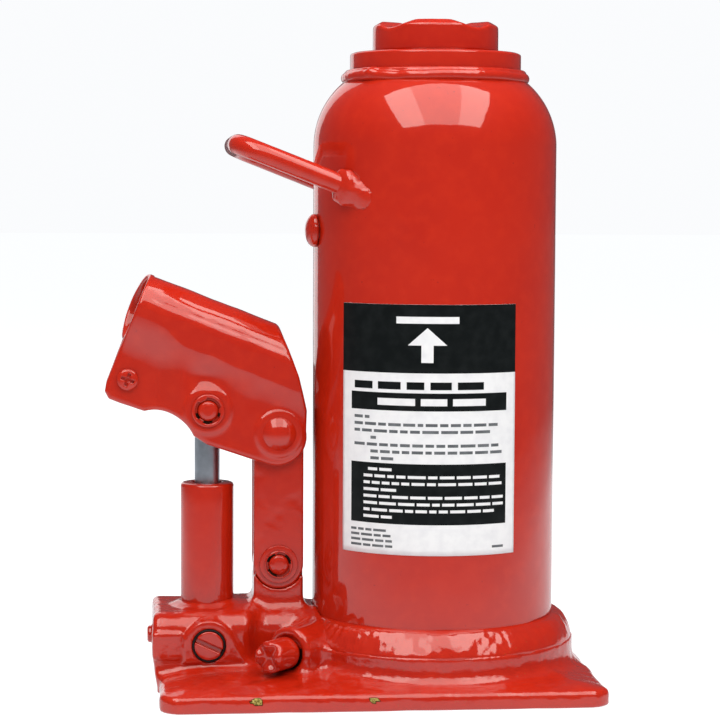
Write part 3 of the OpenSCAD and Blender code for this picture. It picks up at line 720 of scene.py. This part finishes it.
# ---------------------------------------------------------------- pump and lever
def pump_cylinder():
    """Plain barrel with a rounded mouth, its foot in the casting."""
    high = node_box("pump_cylinder")[1]
    r, top, bore, foot, shelf = high[0] - PUMP_X, high[2], 5.0, 25, 30
    profile = [(bore, foot), (8.5, foot), (8.5, shelf), (r, shelf), (r, 40), (r, 70), (r, top - 0.2),
               (7.6, top), (5.95, top), (5.95, top - 1.5), (7, top - 1.5), (7, 70), (bore, 70), (bore, foot)]
    profile = rounded(profile, [0.2, 0.2, 0.2, 0, 0, 1.5, 0.5, 0.4, 0.1, 0.1, 0.1, 0.2], 6)
    turned("pump_barrel", "pump_cylinder", profile, (PUMP_X, 0, 0), segments=96, layers=[(0.05, 9)])


def pump_plunger():
    """Ground plunger whose flattened head holds the pump pin's eye."""
    (x, y, z), start = grid("pump_plunger", 0.4)
    axis_r = np.sqrt((x - PUMP_X) ** 2 + y * y)
    eye = off_axis(x, z, PUMP_PIN)
    body = smooth_min(rod(axis_r, z, 4.95, 45, PUMP_PIN[2], 0.1), rod(eye, y, 8.6, -6, 6, 0.9), 2.0)
    body = smooth_min(body, rod(axis_r, z, 3, node_box("pump_plunger")[0][2], 50, 0.2), 0.2)
    grown("plunger", "pump_plunger", cut(body, eye - 5.3, 0.5), start, body="plunger_body", material=BRIGHT)


def socket_outline():
    """The folded socket's outline seen from the front."""
    points = [(-112.5, 161.3), (-62.2, 142.3), (-54.5, 121.5), (-51.3, 108)]
    points += arc(-62.7, 97.8, 11.5, 10, -110, 18)
    points += [(-90.5, 95)] + arc(-110.5, 91.6, 16.4, 24, 105, 14)
    return points + [(-128.6, 112.6), (-130.1, 115.5), (-129.6, 118.6), (-124.1, 132.8)]


def handle_socket():
    """One folded sheet: a tube for the pump bar, two cheeks below it, and flanges for the clamp."""
    (x, y, z), start = grid("handle_socket", 0.45)
    tube_out, half_sheet, pin_hole = 14.5, 1.5, 4.05
    mouth = np.array([-117.8, 0, 147.8])
    along = (x - mouth[0]) * -BORE_DIR[0] + (z - mouth[2]) * -BORE_DIR[2]
    up = -(x - mouth[0]) * -BORE_DIR[2] + (z - mouth[2]) * -BORE_DIR[0]
    tube_r = np.sqrt(up * up + y * y)
    seam = np.degrees(np.arctan2(up, -y)) - 24
    ridge = 0.22 * np.exp(-(seam / 3.5) ** 2) * held((along - 3) / 6)
    tube = np.maximum(tube_r - tube_out + ridge, 11.6 - tube_r)

    # the cheeks lean in toward the flange, swell round the two pins and sink above the pump's
    t = held((x + 111) / 13)
    t = t * t * (3 - 2 * t)
    middle = 6.5 + 4.6 * t
    pump_d, pivot_d = off_axis(x, z, PUMP_PIN), off_axis(x, z, FULCRUM)
    px, pz = x - PUMP_PIN[0], z - PUMP_PIN[2]
    above = held((pz - 4) / 4) * held(1 - np.abs(px) / 12)
    swell = sum(0.8 / (1 + np.exp(np.minimum((d - 9.3) * steep, 60)))
                for d, steep in ((pivot_d, 2.8), (pump_d, 2.8 - 1.6 * above)))
    sunk = 2.0 * np.exp(-(px / 5.5) ** 2 - ((pz - 14) / 4.6) ** 2)
    outer, inner = middle + half_sheet + swell - sunk, middle - half_sheet
    cheek = np.maximum(np.maximum(np.abs(y) - outer, inner - np.abs(y)), up + 7)
    body = cut(smooth_min(tube, cheek, 6.5), tube_r - BORE_R, 0.4)

    outline = polygon_distance(socket_outline(), x[:, 0, :], z[0])[:, None, :]
    body = smooth_max(body, outline, 1.6)
    wall = smooth_max(tube_r - tube_out, BORE_R - tube_r, 0.6)
    lip = smooth_max(wall, -along - 3.1 * held(y / tube_out), 0.8)
    body = np.minimum(body, np.maximum(lip, along - 2))
    clamp_d = off_axis(x, z, (-121.2, 0, 120.2))
    for hole in (np.maximum(tube_r - BORE_R, along - 52), pump_d - pin_hole, pivot_d - pin_hole,
                 clamp_d - 2.55):
        body = cut(body, hole, 0.3)
    # nothing fills the gaps for the links, the plunger's eye and the clamp
    body = np.maximum(body, -np.maximum(np.abs(y) - inner, up + 13.2))

    def calm(v):
        """No texture round the pins, nor on the cheeks' inner faces."""
        rest = [held((off_axis(v[:, 0], v[:, 2], pin) - 6) / 3) for pin in (PUMP_PIN, FULCRUM)]
        return rest[0] * rest[1] * ((np.abs(v[:, 1]) > 9.4) | (v[:, 2] > 125) | (v[:, 0] < -104))

    grown("socket_fold", "handle_socket", body, start, [(0.22, 14), (0.08, 5)], calm, "socket_body",
          relax=2, clip=True, wear_and_shade=lambda v: grime(v, PUMP_PIN, 5.2, PUMP_GRIME))


def link_plates():
    """Two flat straps with round ends and softened edges."""
    (x, y, z), start = grid("link_plates", 0.5)
    low, high = node_box("link_plates")
    outer, thick = high[1], 4
    span = np.clip(z, LINK_FOOT[2], FULCRUM[2])
    strap = np.sqrt((x - LINK_FOOT[0]) ** 2 + (z - span) ** 2) - (high[0] - low[0]) / 2
    body = smooth_max(strap, np.maximum(np.abs(y) - outer, outer - thick - np.abs(y)), 1.0)
    for point, hole in ((LINK_FOOT, 3.95), (FULCRUM, 4.05)):
        body = cut(body, off_axis(x, z, point) - hole, 0.4)
    grown("links", "link_plates", body, start, [(0.14, 8), (0.05, 3)],
          lambda v: held(np.abs(v[:, 1]) - outer + 1), "link_body", clip=True)


def grime(verts, at, reach, arcs):
    """Dirt in the crevice round a pin: dark on the given arcs, in degrees, and a trace elsewhere."""
    x, z = verts[:, 0] - at[0], verts[:, 2] - at[2]
    angle = np.degrees(np.arctan2(z, x)) % 360
    dark = np.full(len(verts), 0.31)
    for first, last in arcs:
        dark[(angle > first) & (angle < last)] = 0.5
    return dark * (np.hypot(x, z) < reach)


PUMP_GRIME = [(190, 222), (245, 292), (330, 350)]
FOOT_GRIME = [(5, 55), (110, 165), (205, 262)]


def cross_pin(name, node, at, r, half, body, crown=0.5):
    """A pin across the lever, with crowned, chamfered ends."""
    top = [(r, half - crown - 0.8), (r - 0.7, half - crown), (r * 0.5, half - crown * 0.15), (0, half)]
    profile = [(p, -h) for p, h in reversed(top)] + top
    turned(name, node, rounded(profile, 0.5, 4), at, (0, 1, 0), 64, body=body)


def snap_rings(name, node, at, r_pin, r_out, body):
    """A pair of open retaining rings with three lugs that grip the pin, and dark gaps between them."""
    (x, y, z), start = grid(node, 0.2)
    thick = 1.0
    mid = node_box(node)[1][1] - thick / 2
    d, angle = off_axis(x, z, at), np.arctan2(z - at[2], x - at[0])
    gap_r = r_pin + min(1.1, (r_out - r_pin) * 0.6)
    lug = np.cos(3 * (angle - math.radians(115)))
    inner = gap_r - (gap_r - r_pin) * held((lug - 0.45) * 4)
    ring = smooth_max(np.maximum(d - r_out, inner - d), np.abs(np.abs(y) - mid) - thick / 2, 0.7)
    arcs = PUMP_GRIME if body == "socket_body" else FOOT_GRIME
    grown(name, node, ring, start, body=body, wear_and_shade=lambda v: grime(v, at, gap_r - 0.08, arcs))


def washers():
    """Thin washers under the link pin's rings."""
    low, high = node_box("link_pin_washers")
    outer, top, bore = (high[0] - low[0]) / 2, high[1], 3.98
    foot = top - 0.8
    profile = [(bore, foot), (outer, foot), (outer, top), (5.3, top), (5.0, top), (bore, top), (bore, foot)]
    profile = rounded(profile, 0.3, 4)
    (near, faces), (far, _) = (lathe(profile, 96, LINK_FOOT, (0, side, 0)) for side in (-1, 1))
    verts = np.concatenate([near, far])
    new_mesh("washer_pair", "link_pin_washers", verts, np.concatenate([faces, faces + len(near)]),
             wear_and_shade=grime(verts, LINK_FOOT, 5.2, FOOT_GRIME))


def fulcrum_rivet():
    """Rivet whose low domed heads flow into the cheeks under the paint."""
    half, r, head, seat = node_box("fulcrum_rivet")[1][1], 4.0, 6.5, 13.45
    rise = half - seat
    dome = (head ** 2 + rise ** 2) / (2 * rise)
    profile = [(dome * math.sin(a), -(seat - dome + rise + dome * math.cos(a)))
               for a in np.linspace(0, math.asin(head / dome), 12)]
    profile += [(head + 0.25, -seat + 0.55), (r, -seat + 0.6)]
    profile += [(p, -h) for p, h in reversed(profile)]
    turned("rivet", "fulcrum_rivet", profile, FULCRUM, (0, 1, 0), 72, body="socket_body")


def slot(x, z, at, degrees):
    """Distances off and along a line that passes through at, turned by degrees."""
    a = math.radians(degrees)
    px, pz = x - at[0], z - at[2]
    return np.abs(px * math.sin(a) + pz * math.cos(a)), np.abs(px * math.cos(a) - pz * math.sin(a))


def clamp_screw():
    """Pan-head screw with a cross recess, softened by paint."""
    (x, y, z), start = grid("clamp_screw", 0.2)
    low, high = node_box("clamp_screw")
    face, at = low[1], middle_of("clamp_screw")
    d = off_axis(x, z, at)
    body = smooth_max(rod(d, y, 4.2, face - 3, -8.0, 0.2), face + 0.05 * d ** 2 - y, 0.7)
    body = np.minimum(body, rod(d, y, 2.5, -9, high[1], 0.5))
    for turn in (20, 110):
        off, along = slot(x, z, at, turn)
        body = cut(body, np.maximum(np.maximum(off - 0.6, along - 2.6), y - face - 1.5), 0.5)
    grown("screw", "clamp_screw", body, start, body="socket_body")


def clamp_nut():
    """Hexagon nut with chamfered corners."""
    (x, y, z), start = grid("clamp_nut", 0.25)
    at = middle_of("clamp_nut")
    flats, thick, corner, bore = 3.98, 4, 5.5, 2.55
    hexagon = np.maximum.reduce([slot(x, z, at, 90 - a)[0] for a in (90, 30, -30)]) - flats
    d, off = off_axis(x, z, at), np.abs(y - at[1])
    body = smooth_max(hexagon, off - thick / 2, 0.4)
    body = smooth_max(body, d + off * 0.7 - corner, 0.4)
    grown("nut", "clamp_nut", cut(body, d - bore, 0.3), start, body="socket_body")


# ---------------------------------------------------------------- valves and plugs
def release_spindle():
    """Valve spindle whose end is notched crosswise for the pump bar."""
    (x, y, z), start = grid("release_spindle", 0.3)
    s, d, offset = along_release(x, y, z)
    side = offset @ np.cross((0, 0, 1), RELEASE_DIR).astype(np.float32)
    head = rod(d, s, 6.25, 0.3, 14, 1.6)
    for a in (math.radians(45), math.radians(135)):
        lane = side * math.cos(a) + offset[..., 2] * math.sin(a)
        head = cut(head, np.sqrt(lane ** 2 + np.minimum(s - 13.8, 0) ** 2) - 1.5, 2.0)
    body = np.minimum(head, rod(d, s, 4.5, -13.5, 2, 0.3))
    body = np.minimum(body, rod(d, s, 2.4, -15.3, -10, 0.3))
    body = cut(body, np.maximum(3.4 - d, np.abs(s + 8.75) - 1.25), 0.2)
    grown("valve_spindle", "release_spindle", body, start, [(0.16, 5), (0.06, 2)],
          lambda v: held(((v - RELEASE) @ RELEASE_DIR - 0.5) / 1.5), "release_valve")


def valve_plug():
    """Screw plug with one wide slot."""
    (x, y, z), start = grid("valve_plug", 0.22)
    face, at = node_box("valve_plug")[0][1], middle_of("valve_plug")
    d = off_axis(x, z, at)
    body = np.minimum(rod(d, y, 5.6, face, -23, 0.6), rod(d, y, 5.0, -24, -16, 0.4))
    body = cut(body, np.maximum(slot(x, z, at, 25)[0] - 0.9, y - face - 1.5), 0.5)
    grown("plug", "valve_plug", body, start, [(0.05, 3)])


def valve_plug_ring():
    """Rubber ring squeezed out round the plug."""
    low, high = node_box("valve_plug_ring")
    inner, outer, foot, top = 5.65, 6.42, -high[1], -low[1]
    profile = [(inner, foot), (outer, foot), (outer, top - 0.25), (6.05, top), (inner, top - 0.2),
               (inner, foot)]
    turned("plug_ring", "valve_plug_ring", rounded(profile, 0.25, 4), (PUMP_X, 0, (low[2] + high[2]) / 2),
           (0, -1, 0), 72, material=RUBBER)


def end_plug():
    """Plug pressed into the drilling's open end, with a dimpled crown."""
    low, high = node_box("end_plug")
    r, out, inner = (high[1] - low[1]) / 2, -low[0], 104
    face = out - 1.8
    profile = [(0, inner), (r, inner), (r, face), (r - 0.6, face + 0.2), (r - 0.7, out - 0.5), (r - 1.5, out),
               (1.2, out - 0.3), (0, out - 0.9)]
    turned("drill_plug", "end_plug", rounded(profile, 0.4, 5), (0, 0, middle_of("end_plug")[2]),
           (-1, 0, 0), 48)


def filler_plug():
    """Soft rubber plug with a domed head, under the same paint."""
    head_r, stem_r, seat, rise = 6.5, 4.95, TANK_R + 0.3, 3.5
    profile = [(0, TANK_R - 7), (4.0, TANK_R - 7), (stem_r, TANK_R - 5.5), (stem_r, seat), (head_r, seat)]
    profile = rounded(profile, 0.3, 4) + [(head_r * math.cos(a), TANK_R + 0.7 + rise * math.sin(a))
                                          for a in np.linspace(0.1, math.pi / 2, 14)]
    turned("oil_plug", "filler_plug", profile, (0, 0, middle_of("filler_plug")[2]), FILLER_DIR, 64,
           [(0.08, 5)], "filler_plug_body", PAINT_RUBBER)


def valve_spring(name, node, joint, turns):
    """Coil spring behind a valve ball, held at its far end."""
    low, high = node_box(node)
    axis, wire = np.array(JOINTS[joint]["axis"], float), 0.3
    length = float((high - low) @ np.abs(axis))
    r = max((high - low) * (1 - np.abs(axis))) / 2 - wire
    u = np.array([0.0, 0.0, 1.0])
    t = np.linspace(0, 2 * math.pi * turns, 32 * turns + 1)[:, None]
    radial = np.cos(t) * u + np.sin(t) * np.cross(axis, u)
    foot = (low + high) / 2 - axis * length / 2
    path = foot + axis * (wire + (length - 2 * wire) * t / t[-1]) + r * radial
    verts, _, faces = sweep(path, radial, wire, 12)
    piece = new_mesh(name, node, verts, faces, material=DARK_STEEL, weld=True)
    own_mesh(piece)


# ---------------------------------------------------------------- carry handle
HANDLE_TILT = math.radians(21.4)
HANDLE_HALF = 30.0
HANDLE_ROOT = np.array([-37.5, 0, 195.5])
HANDLE_OUT = np.array([-math.cos(HANDLE_TILT), 0, math.sin(HANDLE_TILT)])


def handle_path():
    """The rod's centreline: out along one leg, round two tight bends, and back."""
    reach, bend = 44.2, 12.0
    turn, straight = reach - bend, HANDLE_HALF - bend
    flat = [(-1.0 + (turn + 1) * i / 10, -HANDLE_HALF) for i in range(10)]
    flat += arc(turn, -straight, bend, -90, 0, 14)
    flat += [(reach, -straight + 2 * straight * i / 10) for i in range(1, 10)]
    flat += arc(turn, straight, bend, 0, 90, 14)
    flat += [(turn - (turn + 1) * i / 10, HANDLE_HALF) for i in range(1, 11)]
    return np.array([HANDLE_ROOT + HANDLE_OUT * u + np.array([0, v, 0]) for u, v in flat])


def carry_handle():
    """Bent rod, swept with closed ends that sit against the tank."""
    path, rod_r, sides = handle_path(), 3.95, 40
    up = np.tile(np.cross(HANDLE_OUT, (0, 1, 0)), (len(path), 1))
    verts, quads, faces = sweep(path, up, rod_r, sides)
    verts = roughen(verts, quads, [(0.10, 11), (0.05, 4)])
    new_mesh("grab_handle", "carry_handle", verts, faces, weld=True)


def handle_welds():
    """Lumpy welds round both feet of the handle."""
    (x, y, z), start = grid("handle_welds", 0.45, 2)
    lumps, fields = 9, []
    for side in (-1, 1):
        foot = HANDLE_ROOT + np.array([0, HANDLE_HALF * side, 0])
        out = np.array([foot[0], foot[1], 0]) / math.hypot(foot[0], foot[1])
        px, py, pz = x - foot[0], y - foot[1], z - foot[2]
        along = px * HANDLE_OUT[0] + pz * HANDLE_OUT[2]
        off = np.sqrt(np.maximum(px ** 2 + py ** 2 + pz ** 2 - along ** 2, 0))
        skirt = smooth_max(off - 5.2 + 0.36 * np.clip(along, -9, 9), along - 4.4, 2.6)
        blobs = 1e3
        for i in range(lumps):
            a = 2 * math.pi * i / lumps + 0.5
            w = 4.9 + 0.5 * math.sin(3.1 * i)
            c = foot + np.array([-out[1] * w * math.cos(a), out[0] * w * math.cos(a), w * math.sin(a)])
            c = c + out * (1.0 + 0.4 * math.cos(2.3 * i))
            blob = np.sqrt((x - c[0]) ** 2 + (y - c[1]) ** 2 + (z - c[2]) ** 2) - 2.3
            blobs = smooth_min(blobs, blob, 2.0)
        fields.append(smooth_min(skirt, blobs, 2.5))
    body = np.maximum(np.minimum(*fields), TANK_R - 0.3 - np.sqrt(x * x + y * y))
    grown("handle_beads", "handle_welds", body, start, [(0.45, 4.5), (0.12, 2)], material=BEAD_PAINT)


# ---------------------------------------------------------------- label
LABEL_FROM, LABEL_SPAN = -143.0, 86.3
LABEL_W = math.radians(LABEL_SPAN) * TANK_R
LABEL_H = LABEL_HIGH[2] - LABEL_LOW[2]


def on_tank(u, v, lift):
    """A point of the label: u along it from its left edge, v up from its foot, lift above the tank."""
    a = np.radians(LABEL_FROM) + np.asarray(u) / TANK_R
    r = TANK_R + lift
    return np.stack([r * np.cos(a), r * np.sin(a), LABEL_LOW[2] + np.asarray(v) + 0 * a], -1)


def patch(layer, lift, u0, u1, v0, v1):
    """A rectangle of print laid round the tank, added to a layer's vertices and faces."""
    verts, faces = layer
    n = int((u1 - u0) / 2) + 1
    base = len(verts)
    for i in range(n + 1):
        verts += [on_tank(u0 + (u1 - u0) * i / n, v, lift) for v in (v0, v1)]
    faces += [(a, a + 2, a + 3, a + 1) for a in range(base, base + 2 * n, 2)]


def label_film():
    """Thin film wrapped round the tank, with its edge closed."""
    cols, rows, lift = 60, 40, 0.16
    u, v = np.meshgrid(LABEL_W * np.arange(cols + 1) / cols, LABEL_H * np.arange(rows + 1) / rows,
                       indexing="ij")
    index = np.arange(u.size).reshape(u.shape)
    rim = np.concatenate([index[:-1, 0], index[-1, :-1], index[:0:-1, -1], index[0, :0:-1]])
    verts = [on_tank(u, v, lift).reshape(-1, 3), on_tank(u.ravel()[rim], v.ravel()[rim], 0.0)]
    after = np.roll(np.arange(len(rim)), -1)
    sheet = np.stack([index[:-1, :-1], index[1:, :-1], index[1:, 1:], index[:-1, 1:]], -1)
    edge = np.stack([rim, u.size + np.arange(len(rim)), u.size + after, rim[after]], -1)
    new_mesh("label_film", "label", np.concatenate(verts), np.concatenate([sheet.reshape(-1, 4), edge]),
             material=FILM)


def dashes(layer, lift, v, height, u, right, words):
    """One row of plain dashes that stands for a line of small print, from u on."""
    for w in words:
        if u + w > right:
            break
        patch(layer, lift, u, u + w, v, v + height)
        u += w + height * 0.8


def label_print():
    """Blocks and plain dashes in place of words, with an upward arrow under a bar as the only picture."""
    ink, grey, pale = ([], []), ([], []), ([], [])
    low, high = 0.18, 0.195
    left, right = 4.6, LABEL_W - 4.2
    rng = np.random.RandomState(3)

    def line(layer, lift, v, height, start, count, shortest, longest):
        words = [float(w) for w in rng.uniform(shortest, longest, count)]
        dashes(layer, lift, v, height, start, right - 1, words)

    patch(ink, low, 0.0, LABEL_W, 69.6, LABEL_H - 0.02)
    middle, foot, head_half = LABEL_W / 2, 73.6, 7.4
    patch(pale, high, middle - 12, middle + 12, foot + 14.8, foot + 17.4)
    patch(pale, high, middle - 2.3, middle + 2.3, foot, foot + 6.7)
    base, columns = len(pale[0]), np.linspace(-head_half, head_half, 15)
    for u in columns:
        for v in (6.55, 6.6 + 6.6 * (1 - abs(u) / head_half)):
            pale[0].append(on_tank(middle + u, foot + v, high))
    pale[1].extend([(a, a + 2, a + 3, a + 1) for a in range(base, base + 2 * len(columns) - 2, 2)])
    line(ink, low, 63.3, 2.9, left + 1.5, 9, 5, 11)
    patch(ink, low, left, right, 55.2, 62.0)
    dashes(pale, high, 57.2, 2.7, left + 12, right, [15, 10, 13])
    small = (2, 1.5), (12, 1.5), (12, 1.5), (1, 9), (12, 1.5), (12, 9), (2, 9)
    for row, (count, indent) in enumerate(small):
        line(grey, low, 51.9 - 2.62 * row, 1.15, left + indent, count, 2, 6.5)
    patch(ink, low, left, right, 11.8, 35.0)
    on_black = (2, 8), (12, 6), (12, 6), (2, 6), (12, 6), (12, 6), (12, 6), (2, 6)
    for row, (count, indent) in enumerate(on_black):
        line(pale, high, 32.0 - 2.6 * row, 1.1, left + indent, count, 2.5, 7)
    for row in range(4):
        line(grey, low, 8.6 - 2.0 * row, 0.95, left, 4, 2.5, 5.5)
    dashes(grey, low, 2.6, 0.95, right - 6, right, [5])
    for name, (verts, faces), material in (("label_black_print", ink, INK),
                                           ("label_grey_print", grey, GREY_INK),
                                           ("label_white_print", pale, FILM)):
        new_mesh(name, None, np.array(verts), faces, material=material)


# ---------------------------------------------------------------- hidden pieces keep their CAD meshes
def carried_over():
    """Materials for the CAD nodes that stay as they are, all of them hidden inside."""
    finishes = {"dark_steel": DARK_STEEL, "bright_steel": BALL_STEEL, "black_rubber": RUBBER,
                "copper": COPPER, "brass_mesh": MESH_BRASS, "red_paint": PAINT}
    for row in frame["record"]["subparts"]:
        node = frame["nodes"][row["node"]]
        if not node.hide_render:
            node.data.materials.clear()
            node.data.materials.append(finishes[row["material_slot"]])


# ---------------------------------------------------------------- stage, light and camera
def stage_material(name, grey, glow, fade=()):
    """Paper for the stage. fade, if given, lists the brightness of its glow at distances in metres
    from a spot behind the part."""
    n = Nodes(name)
    n.set(Base_Color=n.mix(n.noise(60, 2), [grey] * 3 + [1], [grey * 1.02] * 3 + [1]), Roughness=0.9)
    tint = (0.96, 0.975, 1.0)
    glow_colour = tint + (1,)
    if fade:
        away = n.add("ShaderNodeVectorMath", {0: n.place, 1: (0, 0.25, 0)}, operation="DISTANCE")
        glow_colour = n.ramp(away.outputs["Value"], [(d, tuple(v * t for t in tint) + (1,)) for d, v in fade])
    n.set(Emission_Color=glow_colour, Emission_Strength=glow, Specular_IOR_Level=0.1)
    return n.material


def floor():
    """A pale flat floor, and a sheet just under it that the paint mirrors in its place, fading out."""
    paper = stage_material("floor_paper", 0.25, 0.96)
    fading = stage_material("floor_mirrored", 0.1, 0.85, [(0.4, 1.0), (0.56, 0.55), (0.8, 0.2), (1.0, 0.03)])
    half = 9000
    corners = [(-half, -half), (half, -half), (half, half), (-half, half)]
    for name, z, material in (("floor", -0.02, paper), ("floor_mirrored", -0.6, fading)):
        mesh = bpy.data.meshes.new(name)
        mesh.from_pydata([(x * MM, y * MM, z * MM) for x, y in corners], [], [(0, 1, 2, 3)])
        mesh.materials.append(material)
        obj = added(name, mesh)
        obj.visible_glossy = material is fading
        obj.visible_camera = obj.visible_diffuse = obj.visible_shadow = material is paper


def softbox(name, at, aim, size, power, colour=(1, 1, 1)):
    """A soft rectangular light, at and aim in millimetres."""
    data = bpy.data.lights.new(name, "AREA")
    data.shape = "RECTANGLE"
    data.size, data.size_y = size[0] * MM, size[1] * MM
    data.energy = power
    data.color = colour
    obj = added(name, data)
    obj.location = Vector(at) * MM
    obj.rotation_euler = (Vector(aim) - Vector(at)).to_track_quat("-Z", "Y").to_euler()
    obj.visible_camera = False
    return obj


def lights():
    """Softboxes above the front, behind the left and overhead, in a surround that is pale to see but
    dark where the paint mirrors it."""
    warm = (1, 0.965, 0.9)
    softbox("key", (-10, -500, 1020), (-10, 0, 200), (1500, 1150), 13.5, warm)
    for side in (-1, 1):
        x = 520 * side - 10
        softbox("key_end_%d" % (side + 1), (x, -497, 1015), (x, 3, 195), (460, 1150), 2.6, warm)
    softbox("left_panel", (-450, 1380, 640), (0, 0, 200), (620, 1500), 3.0)
    softbox("overhead", (0, 220, 1150), (0, 0, 0), (1200, 900), 9.5, warm).visible_glossy = False
    world = bpy.data.worlds.new("surround")
    bpy.context.scene.world = world
    world.use_nodes = True
    tree = world.node_tree
    path = tree.nodes.new("ShaderNodeLightPath")
    seen, mirrored = (tree.nodes.new("ShaderNodeMix") for _ in range(2))
    for node, ray, colour in ((seen, "Is Camera Ray", (0.96, 0.97, 0.985, 1)),
                              (mirrored, "Is Glossy Ray", (0.09, 0.09, 0.1, 1))):
        node.data_type = "RGBA"
        node.inputs[7].default_value = colour
        tree.links.new(path.outputs[ray], node.inputs[0])
    seen.inputs[6].default_value = (0.22, 0.22, 0.22, 1)
    tree.links.new(seen.outputs[2], mirrored.inputs[6])
    tree.links.new(mirrored.outputs[2], tree.nodes["Background"].inputs["Color"])


def camera():
    """Stands left of the front, a little above the middle, with a long lens."""
    data = bpy.data.cameras.new("camera")
    data.sensor_width = 36
    data.lens = 113.3
    data.clip_end = 50
    obj = added("camera", data)
    at = Vector((-113.4, -894.4, 194.6)) * MM
    yaw, pitch, roll = 0.0937, -0.0751, 0.0048
    look = Vector((math.sin(yaw) * math.cos(pitch), math.cos(yaw) * math.cos(pitch), math.sin(pitch)))
    turn = look.to_track_quat("-Z", "Y").to_matrix() @ Matrix.Rotation(roll, 3, "Z")
    obj.matrix_world = Matrix.Translation(at) @ turn.to_4x4()
    bpy.context.scene.camera = obj


for build in (camera, lights, floor, base_casting, reservoir, bottom_weld, top_weld, top_nut, saddle, ram,
              pump_cylinder, pump_plunger, handle_socket, link_plates):
    build()
cross_pin("lever_pin", "pump_pin", PUMP_PIN, 4.0, 15.0, "socket_body")
cross_pin("foot_pin", "link_pin", LINK_FOOT, 3.9, 12.4, "jack_body")
snap_rings("lever_pin_clips", "pump_pin_rings", PUMP_PIN, 4.0, 6.5, "socket_body")
snap_rings("foot_pin_clips", "link_pin_rings", LINK_FOOT, 3.9, 5.6, "jack_body")
for build in (washers, fulcrum_rivet, clamp_screw, clamp_nut, release_spindle, valve_plug, valve_plug_ring,
              end_plug, filler_plug):
    build()
valve_spring("delivery_coil", "delivery_spring", "delivery_lift", 3)
valve_spring("suction_coil", "suction_spring", "suction_lift", 6)
for build in (carry_handle, handle_welds, label_film, label_print, carried_over):
    build()

bpy.context.scene.view_settings.view_transform = "Standard"
